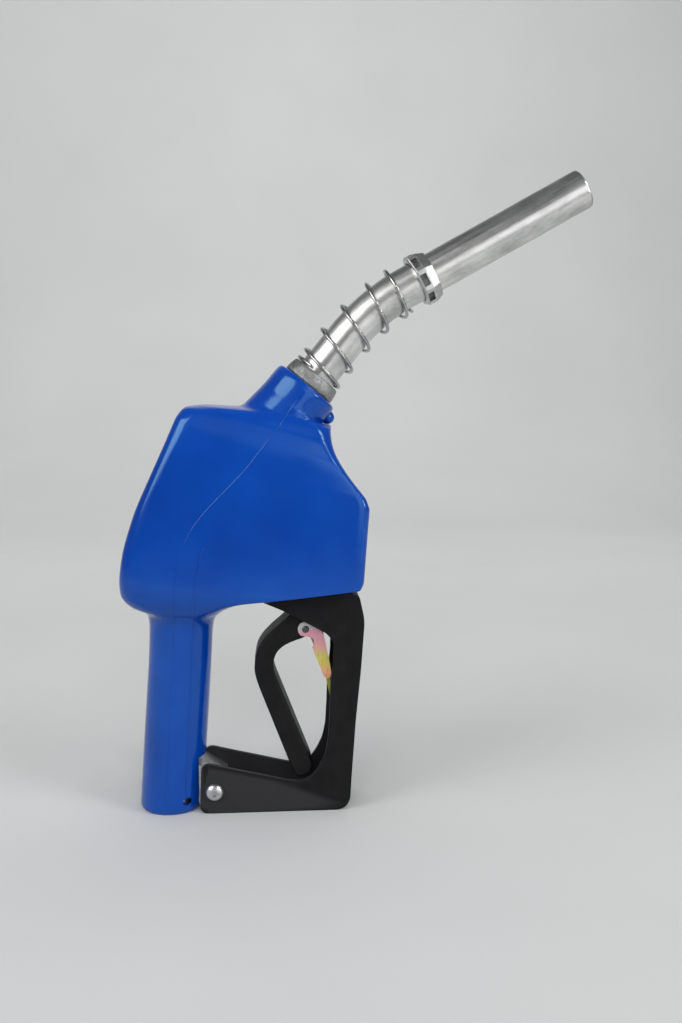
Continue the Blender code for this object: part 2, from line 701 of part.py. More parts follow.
def lever():
    foot = [(74.6, 21.6), (71.0, 30.7)]
    upper = [(54.5, -43.8), (52.2, -36.7), (51.4, -31.6), (52.3, -24.6), (53.6, -19.0),
             (57.0, -13.8), (62.4, -8.3), (69.4, -2.5), (80.2, 8.6), (86.8, 23.8),
             (87.4, 28.4), (90.0, 31.8), (94.0, 33.0), (98.0, 31.8), (100.6, 28.4),
             (101.0, 24.6), (99.4, 20.4), (93.0, 6.0), (88.4, -4.6), (84.0, -11.6),
             (80.0, -13.6), (74.4, -15.4), (68.4, -18.3), (64.5, -22.3), (62.7, -27.8),
             (63.4, -33.8)]
    heel = [(83.4, 32.5), (86.0, 25.6), (85.0, 21.0), (80.5, 18.8), (76.6, 19.2)]
    points = [(x * MM, z * MM) for x, z in foot]
    points += [(body_point(x, z).x, body_point(x, z).z) for x, z in upper]
    points += [(x * MM, z * MM) for x, z in heel]
    obj = prism(points, LEVER_WIDTH)
    bevel(obj, 1.1 * MM, 2, 60.0)
    fork = [(82.0, 12.0), (104.0, 8.0), (104.0, 40.0), (82.0, 40.0)]
    spots = [(body_point(x, z).x, body_point(x, z).z) for x, z in fork]
    cut(obj, prism(spots, 9.0 * MM))
    cut(obj, rod(PIN_D / MM / 2 + 0.15, -20.0, 20.0, across_y(PIVOT_AT.x, PIVOT_AT.z), 20))
    cut(obj, rod(RIVET_D / MM / 2 + 0.15, -20.0, 20.0, across_y(CLIP_AT.x, CLIP_AT.z), 20))
    cut(obj, rod(4.6, -20.0, -LEVER_WIDTH / MM / 2 + 3.4, across_y(CLIP_AT.x, CLIP_AT.z), 20))
    return piece(obj, "lever", BLACK, 0.4)


def lever_pin():
    half = LEVER_WIDTH / MM / 2
    obj = rod(PIN_D / MM / 2, -half, half, across_y(PIVOT_AT.x, PIVOT_AT.z), 20)
    return piece(obj, "lever_pin", STEEL, 0.35, 1.0)


def clip():
    half = LEVER_WIDTH / MM / 2 + GAP
    sheet = CLIP_SHEET / MM
    eye = []
    for k in range(9):
        angle = radians(60.0 + 22.0 * k)
        eye.append((81.9 + 4.6 * cos(angle), -7.6 + 4.6 * sin(angle)))
    arm = eye + [(85.0, -12.4), (86.6, -13.6), (86.9, -17.2), (85.9, -18.8), (92.9, -36.9),
                 (94.6, -37.7), (96.6, -36.9), (97.2, -34.2), (95.7, -25.3), (93.0, -12.3),
                 (91.0, -8.0), (87.2, -4.9)]
    spots = [(body_point(x, z).x, body_point(x, z).z) for x, z in arm]
    obj = prism(spots, 2 * (half + sheet) * MM)
    web = [(70.0, 10.0), (70.0, -60.0), (92.0, -41.0), (95.3, -34.6), (93.9, -25.6),
           (91.4, -13.5), (92.0, 10.0)]
    spots = [(body_point(x, z).x, body_point(x, z).z) for x, z in web]
    cut(obj, prism(spots, 2 * half * MM))
    top = [(60.0, -16.0), (110.0, -16.0), (110.0, 10.0), (60.0, 10.0)]
    spots = [(body_point(x, z).x, body_point(x, z).z) for x, z in top]
    cut(obj, prism(spots, 2 * half * MM))
    tongue = [(93.6, -36.4), (95.2, -34.6), (96.4, -36.0), (98.4, -51.2), (97.0, -51.5)]
    spots = [(body_point(x, z).x, body_point(x, z).z) for x, z in tongue]
    join(obj, prism(spots, 12.0 * MM))
    cut(obj, rod(RIVET_D / MM / 2 + 0.15, -20.0, 20.0, across_y(CLIP_AT.x, CLIP_AT.z), 20))
    return piece(obj, "hold_open_clip", ZINC_YELLOW, 0.35, 1.0)


def rivet():
    half = LEVER_WIDTH / MM / 2 + GAP + CLIP_SHEET / MM
    r = RIVET_D / MM / 2
    obj = lathe([(0.0, half + 0.6), (r * 0.7, half + 0.55), (r, half + 0.25), (r, -half - 0.25),
                 (r * 0.7, -half - 0.55), (0.0, -half - 0.6)],
                across_y(CLIP_AT.x, CLIP_AT.z), 20)
    return piece(obj, "clip_rivet", STEEL, 0.3, 1.0)


def clip_spring():
    half = LEVER_WIDTH / MM / 2
    frame = across_y(CLIP_AT.x, CLIP_AT.z)
    points = coil(3.3, -half + 0.75, -half + 2.8, 2.5, frame, 9)
    return piece(wire(points, 0.4 * MM), "clip_spring", STEEL, 0.3, 1.0)


def guard_screw():
    frame = across_y(SCREW_AT.x, SCREW_AT.z)
    face = GUARD_HALF + GAP
    r = SCREW_D / MM / 2
    obj = lathe([(0.0, face + 1.4), (5.0, face + 1.4), (5.3, face + 1.0), (5.3, face),
                 (r, face), (r, -GUARD_HALF - 6.0), (0.0, -GUARD_HALF - 6.0)], frame, 30)
    join(obj, hexagon(8.4, face + 0.8, face + 3.6, frame))
    return piece(obj, "guard_screw", BRIGHT, 0.25, 1.0)


def guard_nut():
    frame = across_y(SCREW_AT.x, SCREW_AT.z)
    obj = hexagon(10.0, -GUARD_HALF - 6.0, -GUARD_HALF - 1.5, frame)
    cut(obj, rod(SCREW_D / MM / 2 + 0.15, -40.0, 0.0, frame, 20))
    return piece(obj, "guard_nut", BRIGHT, 0.25, 1.0)


def guard_washer():
    frame = across_y(SCREW_AT.x, SCREW_AT.z)
    obj = tube(5.6, SCREW_D / MM / 2 + 0.2, -GUARD_HALF - 1.3, -GUARD_HALF - 0.2, frame, 24)
    return piece(obj, "guard_washer", BRIGHT, 0.25, 1.0)


# ---------------------------------------------------------------- main valve

def valve_parts():
    r = STEM_D / MM / 2
    bore = VALVE_BORE / MM / 2
    seat = SEAT_OD / MM / 2
    hole = SEAT_BORE / MM / 2
    stem = lathe([(0.0, 75.0), (r - 0.6, 75.0), (r - 0.6, 62.5), (r, 62.5), (r, 1.6),
                  (r - 1.2, 0.5), (0.0, 0.3)], STEM_AXIS, 20)
    piece(stem, "main_valve_stem", STEEL, 0.25, 1.0)
    nut = hexagon(12.0, 14.4, 18.3, STEM_AXIS)
    join(nut, rod(5.5, 17.0, 24.7, STEM_AXIS))
    cut(nut, rod(r + 0.3, 5.0, 28.0, STEM_AXIS, 20))
    piece(nut, "packing_nut", BRASS, 0.35, 1.0)
    packing = tube(5.5, r + 0.2, 25.0, 30.7, STEM_AXIS)
    piece(packing, "stem_packing", RUBBER, 0.8)
    ring_seat = lathe([(hole + 1.4, 59.2), (seat, 59.2), (seat, 54.3), (hole, 54.3),
                       (hole, 58.0)], STEM_AXIS)
    piece(ring_seat, "main_valve_seat", BRASS, 0.3, 1.0)
    disc = tube(12.0, r + 0.2, 59.5, 62.0, STEM_AXIS)
    piece(disc, "main_valve_disc", RUBBER, 0.7)
    poppet = lathe([(r + 0.0, 76.0), (6.2, 76.0), (6.2, 66.0), (12.6, 65.0), (13.0, 64.2),
                    (13.0, 62.3), (r + 0.3, 62.3), (r + 0.3, 62.8), (r, 62.8)], STEM_AXIS)
    piece(poppet, "main_valve_poppet", BRASS, 0.35, 1.0)
    spring = wire(coil(8.6, 67.0, 92.8, 4.5, STEM_AXIS), 0.8 * MM)
    piece(spring, "main_valve_spring", STEEL, 0.3, 1.0)
    cap = lathe([(0.0, 99.4), (bore + 0.3, 99.4), (bore + 0.9, 98.8), (bore + 0.9, 96.3),
                 (bore - 0.4, 96.3), (bore - 0.4, 94.6), (bore - 2.0, 94.6),
                 (bore - 2.0, 92.2), (bore - 0.4, 92.2), (bore - 0.4, 88.0), (11.5, 88.0),
                 (11.5, 94.0), (0.0, 94.0)], STEM_AXIS)
    cut(cap, hexagon(14.0, 97.8, 101.0, STEM_AXIS))
    piece(cap, "main_valve_cap", CAST, 0.45, 1.0)
    ring_bore = (bore - 2.0 + bore) / 2 - 0.05
    seal = lathe(circle_profile(ring_bore, 93.4, 0.75, 8), STEM_AXIS)
    piece(seal, "cap_o_ring", RUBBER, 0.6)


def circle_profile(radius, height, size, count):
    points = []
    for k in range(count):
        angle = pi / 2 - 2 * pi * (k + 0.5) / count
        points.append((radius + size * cos(angle), height + size * sin(angle)))
    return points


# ---------------------------------------------------------------- latch and diaphragm

def latch_parts():
    r = PLUNGER_D / MM / 2
    bore = SLEEVE_BORE / MM / 2
    shell = SLEEVE_OD / MM / 2
    plunger = lathe([(0.0, 60.0), (3.3, 60.0), (3.3, 78.0), (r, 78.0), (r, 54.0), (7.2, 54.0),
                     (7.2, 52.0), (r, 52.0), (r, 12.5), (0.0, 12.5)], LATCH_AXIS)
    tongue = rod(6.0, -4.2, 4.2, across_y(PIVOT_AT.x, PIVOT_AT.z), 24)
    neck = box((-4.9 * MM, -4.2 * MM, 0.0), (4.9 * MM, 4.2 * MM, 13.5 * MM))
    neck.matrix_world = LATCH_AXIS
    join(plunger, tongue)
    join(plunger, neck)
    cut(plunger, rod(PIN_D / MM / 2 + 0.15, -9.0, 9.0, across_y(PIVOT_AT.x, PIVOT_AT.z), 20))
    for k in range(3):
        cut(plunger, ball_window(k))
    piece(plunger, "latch_plunger", STEEL, 0.3, 1.0)
    for k in range(3):
        bm = bmesh.new()
        bmesh.ops.create_uvsphere(bm, u_segments=10, v_segments=6, radius=BALL_D / 2)
        ball = from_bmesh(bm, "ball")
        ball.matrix_world = ball_frame(k)
        smooth(ball, 80.0)
        piece(ball, "latch_ball_%d" % (k + 1), STEEL, 0.15, 1.0)
    latch = lathe([(r + 0.9, 71.5), (bore - 0.2, 71.5), (bore - 0.2, 64.0), (r + 0.3, 64.0),
                   (r + 0.3, 71.0)], LATCH_AXIS)
    piece(latch, "latch_ring", STEEL, 0.3, 1.0)
    sleeve = lathe([(bore, 89.7), (shell + 2.3, 89.7), (shell + 2.3, 87.3), (shell, 87.3),
                    (shell, 15.3), (r + 0.3, 15.3), (r + 0.3, 17.4), (bore, 17.4)],
                   LATCH_AXIS)
    piece(sleeve, "latch_sleeve", CAST, 0.4, 1.0)
    spring = wire(coil(6.3, 18.3, 51.2, 5.5, LATCH_AXIS), 0.5 * MM)
    piece(spring, "latch_plunger_spring", STEEL, 0.3, 1.0)
    pin = lathe([(0.0, 103.6), (2.0, 103.6), (2.0, 95.9), (5.0, 95.9), (5.0, 94.4),
                 (2.4, 94.4), (2.4, 77.0), (3.0, 76.0), (3.0, 70.5), (1.6, 69.0),
                 (1.6, 66.4), (0.0, 66.0)], LATCH_AXIS)
    piece(pin, "latch_pin", STEEL, 0.25, 1.0)
    wide = DIAPHRAGM_D / MM / 2
    membrane = lathe([(2.3, 97.8), (13.0, 97.8), (14.2, 97.2), (15.2, 97.2), (16.4, 97.8),
                      (wide, 97.8), (wide, 96.3), (16.4, 96.3), (15.2, 95.7), (14.2, 95.7),
                      (13.0, 96.3), (2.3, 96.3)], LATCH_AXIS)
    for spot in diaphragm_screws():
        cut(membrane, rod(1.9, 94.0, 99.0, spot, 8))
    piece(membrane, "diaphragm", RUBBER, 0.7)
    plate = tube(11.5, 2.3, 98.1, 99.3, LATCH_AXIS)
    piece(plate, "diaphragm_plate", BRIGHT, 0.3, 1.0)
    nut = hexagon(6.0, 99.6, 102.2, LATCH_AXIS)
    cut(nut, rod(2.3, 95.0, 110.0, LATCH_AXIS, 20))
    piece(nut, "diaphragm_nut", BRIGHT, 0.3, 1.0)
    coil_up = wire(coil(9.0, 100.2, 106.9, 3.0, LATCH_AXIS), 0.6 * MM)
    piece(coil_up, "diaphragm_spring", STEEL, 0.3, 1.0)
    cap = lathe([(0.0, 109.6), (14.4, 109.6), (15.6, 108.6), (16.2, 102.6), (wide, 101.6),
                 (wide, 98.1), (13.4, 98.1), (13.4, 107.6), (0.0, 107.6)], LATCH_AXIS)
    for spot in diaphragm_screws():
        cut(cap, rod(1.9, 90.0, 110.0, spot, 8))
        cut(cap, rod(3.0, 101.2, 115.0, spot, 10))
    piece(cap, "diaphragm_cap", CAST, 0.45, 1.0)
    for k, spot in enumerate(diaphragm_screws()):
        bolt = lathe([(0.0, 103.8), (2.4, 103.8), (2.7, 103.4), (2.7, 101.5), (1.6, 101.5),
                      (1.6, 87.0), (0.0, 87.0)], spot, 10)
        piece(bolt, "diaphragm_screw_%d" % (k + 1), BRIGHT, 0.3, 1.0)


def ball_frame(k):
    turn = Matrix.Rotation(2 * pi * k / 3 + pi / 6, 4, "Z")
    return LATCH_AXIS @ turn @ Matrix.Translation((4.9 * MM, 0.0, 73.4 * MM))


def ball_window(k):
    tip = Matrix.Rotation(pi / 2, 4, "Y")
    obj = rod(BALL_D / MM / 2 + 0.2, -3.0, 2.0, ball_frame(k) @ tip, 16)
    return obj


# ---------------------------------------------------------------- check valve and strainer

def check_valve():
    plug = NECK_BORE / MM / 2 - GAP
    seat = lathe([(10.4, -31.6), (plug, -31.6), (plug, -35.7), (9.4, -35.7), (9.4, -32.6)],
                 NECK_AXIS)
    piece(seat, "check_valve_seat", BRASS, 0.3, 1.0)
    poppet = lathe([(0.0, -18.0), (2.0, -18.0), (2.0, -28.6), (11.2, -28.6), (11.8, -29.2),
                    (11.8, -31.0), (11.2, -31.3), (0.0, -31.3)], NECK_AXIS)
    piece(poppet, "check_valve_poppet", BRASS, 0.35, 1.0)
    spring = wire(coil(9.2, -27.7, -16.9, 3.5, NECK_AXIS), 0.6 * MM)
    piece(spring, "check_valve_spring", STEEL, 0.3, 1.0)


def inlet_strainer():
    wide = INLET_BORE / MM / 2 - GAP
    low = INLET_DEPTH / MM - GAP
    slim = HANDLE_BORE / MM / 2 - 0.8
    obj = lathe([(slim - 0.9, low + 16.0), (slim, low + 16.0), (slim, low), (wide, low),
                 (wide, low - 1.6), (slim - 0.9, low - 1.6)], HANDLE_AXIS)
    return piece(obj, "inlet_strainer", STEEL, 0.4, 1.0)


casting()
hand_cover()
adapter()
spout_tube()
vent_tube()
spout_collar()
anchor_spring()
set_screw()
lever_guard()
guard_screw()
guard_nut()
guard_washer()
lever()
lever_pin()
clip()
rivet()
clip_spring()
valve_parts()
latch_parts()
check_valve()
inlet_strainer()

for tool in CUTTERS.objects:
    tool.hide_render = True
    tool.display_type = "WIRE"

# the origin is the centre of the object's footprint: back of the cover to the spout tip
SPOUT_TIP = spout_path(0.0)[-1][0]
FRONT = SPOUT_TIP.x + (SPOUT_OD / 2 - 0.8 * MM) * sin(TIP_ANGLE)
CENTRE = (FRONT + body_point(-25.0, 0.0).x) / 2
for obj in list(PARTS.objects) + list(CUTTERS.objects):
    obj.location.x -= CENTRE


def hang(name, point, children):
    """Empty on a joint's axis that carries the pieces turning about it."""
    empty = bpy.data.objects.new(name, None)
    empty.empty_display_size = 0.01
    empty.location = point - Vector((CENTRE, 0.0, 0.0))
    PARTS.objects.link(empty)
    bpy.context.view_layer.update()
    for child in children:
        obj = bpy.data.objects[child]
        obj.parent = empty
        obj.matrix_parent_inverse = empty.matrix_world.inverted()


hang("lever_pivot", PIVOT_AT, ("lever", "lever_pin", "clip_rivet", "clip_spring"))
hang("clip_pivot", CLIP_AT, ("hold_open_clip",))
hang("latch_slide", PIVOT_AT, ("latch_plunger",))
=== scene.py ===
from math import atan2, cos, pi, radians, sin, sqrt

import bmesh
import bpy
from mathutils import Matrix, Vector, noise
from mathutils.bvhtree import BVHTree


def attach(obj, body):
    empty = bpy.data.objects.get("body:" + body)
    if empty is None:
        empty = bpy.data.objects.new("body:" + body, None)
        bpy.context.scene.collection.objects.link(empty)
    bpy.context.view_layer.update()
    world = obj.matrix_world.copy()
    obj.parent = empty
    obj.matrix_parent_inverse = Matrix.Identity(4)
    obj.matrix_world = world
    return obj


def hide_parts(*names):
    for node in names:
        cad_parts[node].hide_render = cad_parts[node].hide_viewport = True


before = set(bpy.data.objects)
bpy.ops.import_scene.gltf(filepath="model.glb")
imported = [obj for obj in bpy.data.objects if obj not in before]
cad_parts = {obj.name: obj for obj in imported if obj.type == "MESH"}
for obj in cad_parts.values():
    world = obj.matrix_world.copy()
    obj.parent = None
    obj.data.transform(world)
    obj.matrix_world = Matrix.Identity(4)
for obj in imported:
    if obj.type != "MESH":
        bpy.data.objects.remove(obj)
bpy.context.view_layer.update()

# The fuel nozzle's looks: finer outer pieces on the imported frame, materials, light and camera.
# Sizes of the nozzle are in millimetres; floor, lights, camera and textures are in metres.

MM = 0.001
SHIFT = 112.81058                   # from x = 0, at the handle's foot, to the model's centre
BODY_FOOT = 118.0                   # from the floor to the foot of the valve body
HANDLE_FOOT = 0.4                   # where the leaning handle's axis meets the floor
HANDLE_LEAN = 8.8                   # how far the axis moves toward the spout over its height

NECK_ANGLE = radians(50.5)
TIP_ANGLE = radians(29.0)
NECK_AT = (84.4, 253.2)
BEND_START = 36.5
BEND_RADIUS = 120.0
SPOUT_STRAIGHT = 118.0
SPOUT_R = 11.9
SPOUT_IN = 10.2
SPOUT_TRIM = 0.20                   # taken off the uneven surface to keep it inside the CAD box
SPOUT_ROOT = 12.0                   # length of tube hidden inside the adapter
COLLAR_FROM_TIP = 111.8
COLLAR_FLAT = 15.0
COLLAR_BORE = 12.2
COIL_R = 14.4
COIL_WIRE = 1.0
BODY_HALF = 30.72
COVER_WALL = 2.1
LINE_RADIUS = 0.40                  # of the raised mould lines on the cover
LINE_SINK = 0.12
GRIP_R = 18.8
NECK_R = 20.5
GUARD_HALF = 17.0
GUARD_WALL = 3.0
LUG_HALF = 13.7
LUG_NECK = 18.0
LEVER_HALF = 11.4
FORK_GAP = 9.0
PIN_BORE = 2.65
RIVET_BORE = 2.15
RIVET_SINK = 4.6
PLAY = 0.6                          # added to the width of openings in the cover
PIVOT_AT = (94.0, 144.0)
CLIP_AT = (81.9, 110.4)
SCREW_AT = (27.3, 13.8)


# ---------------------------------------------------------------- placing

def at(x, z, y=0.0):
    """Point from millimetres, x from the handle's foot and z from the floor."""
    return Vector(((x - SHIFT) * MM, y * MM, z * MM))


def body_at(x, z, y=0.0):
    """As above, with z counted from the foot of the valve body."""
    return at(x, z + BODY_FOOT, y)


def axis_matrix(origin, angle):
    """Local Z runs along the angle in the XZ plane, local Y stays along world Y."""
    return Matrix.Translation(origin) @ Matrix.Rotation(pi / 2 - angle, 4, "Y")


def across(x, z):
    """Frame whose local Z points at the near side."""
    return Matrix.Translation(at(x, z)) @ Matrix.Rotation(pi / 2, 4, "X")


HANDLE_AXIS = axis_matrix(at(HANDLE_FOOT, 0.0), atan2(BODY_FOOT, HANDLE_LEAN))
NECK_AXIS = axis_matrix(at(*NECK_AT), NECK_ANGLE)


# ---------------------------------------------------------------- mesh helpers

def new_object(bm, name):
    bmesh.ops.recalc_face_normals(bm, faces=bm.faces[:])
    mesh = bpy.data.meshes.new(name)
    bm.to_mesh(mesh)
    bm.free()
    obj = bpy.data.objects.new(name, mesh)
    bpy.context.scene.collection.objects.link(obj)
    return obj


def bake(obj):
    """Applies an object's modifiers and its place to its mesh."""
    bpy.context.view_layer.update()
    graph = bpy.context.evaluated_depsgraph_get()
    mesh = bpy.data.meshes.new_from_object(obj.evaluated_get(graph))
    mesh.transform(obj.matrix_world)
    obj.modifiers.clear()
    obj.data = mesh
    obj.matrix_world = Matrix.Identity(4)
    return obj


def cut(obj, tool):
    """Takes the tool's volume out of an object and removes the tool."""
    mod = obj.modifiers.new("boolean", "BOOLEAN")
    mod.operation = "DIFFERENCE"
    mod.solver = "EXACT"
    mod.object = tool
    bake(obj)
    bpy.data.objects.remove(tool, do_unlink=True)


def bevel(obj, width, segments, angle):
    """Rounds edges sharper than the angle, in degrees."""
    mod = obj.modifiers.new("bevel", "BEVEL")
    mod.width = width * MM
    mod.segments = segments
    mod.limit_method = "ANGLE"
    mod.angle_limit = radians(angle)
    mod.use_clamp_overlap = True
    bake(obj)


def smooth(obj, angle):
    obj.data.shade_smooth()
    obj.data.set_sharp_from_angle(angle=radians(angle))


def weight_normals(obj):
    """Keeps broad flat faces flat beside their rounded edges."""
    mod = obj.modifiers.new("normals", "WEIGHTED_NORMAL")
    mod.keep_sharp = True
    mod.weight = 80


def add_mesh(obj, other):
    """Joins a second object's mesh into the first."""
    bm = bmesh.new()
    bm.from_mesh(obj.data)
    bm.from_mesh(other.data)
    bm.to_mesh(obj.data)
    bm.free()
    bpy.data.objects.remove(other, do_unlink=True)


def finish_piece(obj, node_name, body, mat, angle):
    """Names a piece after the CAD node it stands for and lets it ride."""
    obj.name = node_name + "_detail"
    smooth(obj, angle)
    if node_name in ("lever_guard", "lever", "spout_collar", "guard_screw"):
        weight_normals(obj)
    if len(obj.data.materials) < 2:
        obj.data.materials.clear()
        obj.data.materials.append(mat)
    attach(obj, body)
    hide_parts(node_name)


def lathe(profile, place, steps):
    """Solid of revolution; profile is (radius, height) in mm."""
    bm = bmesh.new()
    rings = []
    for radius, height in profile:
        if radius <= 0:
            rings.append([bm.verts.new((0.0, 0.0, height * MM))])
            continue
        ring = []
        for k in range(steps):
            a = 2 * pi * k / steps
            ring.append(bm.verts.new((radius * cos(a) * MM, radius * sin(a) * MM, height * MM)))
        rings.append(ring)
    closed = profile[0][0] > 0
    count = len(rings) if closed else len(rings) - 1
    for i in range(count):
        low, high = rings[i], rings[(i + 1) % len(rings)]
        for k in range(steps):
            j = (k + 1) % steps
            corners = [low[k % len(low)], low[j % len(low)], high[j % len(high)],
                       high[k % len(high)]]
            unique = []
            for corner in corners:
                if corner not in unique:
                    unique.append(corner)
            if len(unique) > 2:
                bm.faces.new(unique)
    obj = new_object(bm, "lathe")
    obj.matrix_world = place
    return bake(obj)


def rod(radius, low, high, place, steps=32):
    """Round bar along the place's Z axis, in mm."""
    return lathe([(0.0, high), (radius, high), (radius, low), (0.0, low)], place, steps)


def round_outline(points, radius, segments=6):
    """Rounds every corner of a closed outline of (x, z) points in mm."""
    most = 0.48                     # part of an edge that one corner may take
    rounded = []
    count = len(points)
    for i in range(count):
        here = Vector(points[i])
        back = Vector(points[i - 1]) - here
        ahead = Vector(points[(i + 1) % count]) - here
        reach = min(radius, back.length * most, ahead.length * most)
        a = here + back.normalized() * reach
        b = here + ahead.normalized() * reach
        for k in range(segments + 1):
            t = k / segments
            p = a * (1 - t) ** 2 + here * 2 * t * (1 - t) + b * t ** 2
            rounded.append((p.x, p.y))
    return rounded


def prism(outline, width):
    """Outline of (x, z) points in mm, extruded along Y to both sides of the middle."""
    bm = bmesh.new()
    near = [bm.verts.new(at(x, z, -width / 2)) for x, z in outline]
    far = [bm.verts.new(at(x, z, width / 2)) for x, z in outline]
    bm.faces.new(near)
    bm.faces.new(list(reversed(far)))
    for i in range(len(near)):
        j = (i + 1) % len(near)
        bm.faces.new((near[j], near[i], far[i], far[j]))
    return new_object(bm, "prism")


def tube_along(points, radius, steps):
    """Round bar through world points, its frame carried along without twist."""
    bm = bmesh.new()
    rings = []
    side = None
    for i, point in enumerate(points):
        ahead = points[min(i + 1, len(points) - 1)]
        behind = points[max(i - 1, 0)]
        along = (ahead - behind).normalized()
        if side is None:
            side = along.orthogonal().normalized()
        side = (side - along * side.dot(along)).normalized()
        other = along.cross(side)
        ring = []
        for k in range(steps):
            a = 2 * pi * k / steps
            ring.append(bm.verts.new(point + (side * cos(a) + other * sin(a)) * radius * MM))
        rings.append(ring)
    for low, high in zip(rings, rings[1:]):
        for k in range(steps):
            j = (k + 1) % steps
            bm.faces.new((low[k], low[j], high[j], high[k]))
    bm.faces.new(list(reversed(rings[0])))
    bm.faces.new(rings[-1])
    return new_object(bm, "tube")


def hermite(knots, rows, steps):
    """Smooth samples through rows of numbers that sit at rising knots."""
    slopes = []
    last = len(rows) - 1
    for i in range(len(rows)):
        a, b = max(i - 1, 0), min(i + 1, last)
        if i in (0, last):
            slopes.append([(q - p) / (knots[b] - knots[a]) for p, q in zip(rows[a], rows[b])])
            continue
        left = knots[i] - knots[a]
        right = knots[b] - knots[i]
        row = []
        for p, m, q in zip(rows[a], rows[i], rows[b]):
            s0 = (m - p) / left
            s1 = (q - m) / right
            row.append((s0 * right + s1 * left) / (left + right))
        slopes.append(row)
    samples = []
    for i in range(last):
        span = knots[i + 1] - knots[i]
        for k in range(steps[i]):
            t = k / steps[i]
            h00 = 2 * t ** 3 - 3 * t ** 2 + 1
            h10 = t ** 3 - 2 * t ** 2 + t
            h01 = 3 * t ** 2 - 2 * t ** 3
            h11 = t ** 3 - t ** 2
            samples.append([h00 * p + h10 * span * u + h01 * q + h11 * span * v
                            for p, q, u, v in zip(rows[i], rows[i + 1], slopes[i], slopes[i + 1])])
    samples.append(list(rows[-1]))
    return samples


# ---------------------------------------------------------------- materials

def add_node(tree, kind, **values):
    made = tree.nodes.new(kind)
    for key, value in values.items():
        setattr(made, key, value)
    return made


def noise_layer(tree, vector, scale, detail=4.0, rough=0.55, stretch=(1, 1, 1), turn=(0, 0, 0)):
    """Noise from 0 to 1 over coordinates that are first turned and stretched."""
    place = add_node(tree, "ShaderNodeMapping")
    place.inputs["Scale"].default_value = stretch
    place.inputs["Rotation"].default_value = turn
    tree.links.new(vector, place.inputs["Vector"])
    tex = add_node(tree, "ShaderNodeTexNoise")
    tex.inputs["Scale"].default_value = scale
    tex.inputs["Detail"].default_value = detail
    tex.inputs["Roughness"].default_value = rough
    tree.links.new(place.outputs["Vector"], tex.inputs["Vector"])
    return tex.outputs["Fac"]


def ramp(tree, value, stops):
    made = add_node(tree, "ShaderNodeValToRGB")
    marks = made.color_ramp.elements
    while len(marks) < len(stops):
        marks.new(0.5)
    for mark, (place, colour) in zip(marks, stops):
        mark.position = place
        mark.color = (*colour, 1.0)
    tree.links.new(value, made.inputs["Fac"])
    return made.outputs["Color"]


def stretch_value(tree, value, low, high, start=0.3, end=0.7):
    """Maps a value between start and end to the span from low to high."""
    made = add_node(tree, "ShaderNodeMapRange")
    made.inputs["From Min"].default_value = start
    made.inputs["From Max"].default_value = end
    made.inputs["To Min"].default_value = low
    made.inputs["To Max"].default_value = high
    tree.links.new(value, made.inputs["Value"])
    return made.outputs["Result"]


def bump_chain(tree, shader, layers):
    """Stacks bumps of (height, strength, distance)."""
    normal = None
    for height, strength, distance in layers:
        made = add_node(tree, "ShaderNodeBump")
        made.inputs["Strength"].default_value = strength
        made.inputs["Distance"].default_value = distance
        tree.links.new(height, made.inputs["Height"])
        if normal is not None:
            tree.links.new(normal, made.inputs["Normal"])
        normal = made.outputs["Normal"]
    tree.links.new(normal, shader.inputs["Normal"])


def start_material(name, metallic, coords="Object"):
    mat = bpy.data.materials.new(name)
    mat.use_nodes = True
    tree = mat.node_tree
    shader = tree.nodes["Principled BSDF"]
    shader.inputs["Metallic"].default_value = metallic
    place = add_node(tree, "ShaderNodeTexCoord")
    return mat, tree, shader, place.outputs[coords]


def vinyl(name, dark, mid, light):
    """Dipped vinyl: soft gloss with slow undulation, fine orange peel and faint scuffs."""
    mat, tree, shader, where = start_material(name, 0.0)
    slow = noise_layer(tree, where, 28.0, 2.0)
    fine = noise_layer(tree, where, 900.0, 3.0)
    scuff = noise_layer(tree, where, 90.0, 4.0, 0.6, (1.0, 1.0, 0.6), (0.0, 0.5, 0.0))
    colour = ramp(tree, slow, [(0.25, dark), (0.5, mid), (0.78, light)])
    tree.links.new(colour, shader.inputs["Base Color"])
    gloss = stretch_value(tree, scuff, 0.13, 0.20)
    tree.links.new(gloss, shader.inputs["Roughness"])
    shader.inputs["Specular IOR Level"].default_value = 0.58
    shader.inputs["Specular Tint"].default_value = (0.55, 1.0, 0.88, 1.0)
    bump_chain(tree, shader, [(slow, 0.16, 0.0012), (fine, 0.06, 0.00008)])
    return mat


def moulded_black(name, base, grey):
    """Glass-filled nylon: fine grain, faint mottle and a painted highlight that lightens sharp
    edges.
    """
    mat, tree, shader, where = start_material(name, 0.0)
    mottle = noise_layer(tree, where, 120.0, 5.0, 0.6)
    grain = noise_layer(tree, where, 2600.0, 2.0)
    colour = ramp(tree, mottle, [(0.3, base), (0.75, grey)])
    # A painted highlight: sharp convex edges are made lighter.
    edge = add_node(tree, "ShaderNodeNewGeometry")
    edge_sheen_mask = stretch_value(tree, edge.outputs["Pointiness"], 0.0, 1.0, 0.52, 0.62)
    mix = add_node(tree, "ShaderNodeMix", data_type="RGBA")
    tree.links.new(edge_sheen_mask, mix.inputs["Factor"])
    tree.links.new(colour, mix.inputs["A"])
    sheen_dim = tuple(c * 2.2 for c in grey)
    sheen_bright = tuple(c * 3.4 for c in grey)
    edge_sheen = ramp(tree, grain, [(0.3, sheen_dim), (0.7, sheen_bright)])
    tree.links.new(edge_sheen, mix.inputs["B"])
    tree.links.new(mix.outputs["Result"], shader.inputs["Base Color"])
    tree.links.new(stretch_value(tree, mottle, 0.42, 0.58), shader.inputs["Roughness"])
    shader.inputs["Specular IOR Level"].default_value = 0.12
    bump_chain(tree, shader, [(grain, 0.22, 0.00008), (mottle, 0.08, 0.0004)])
    return mat


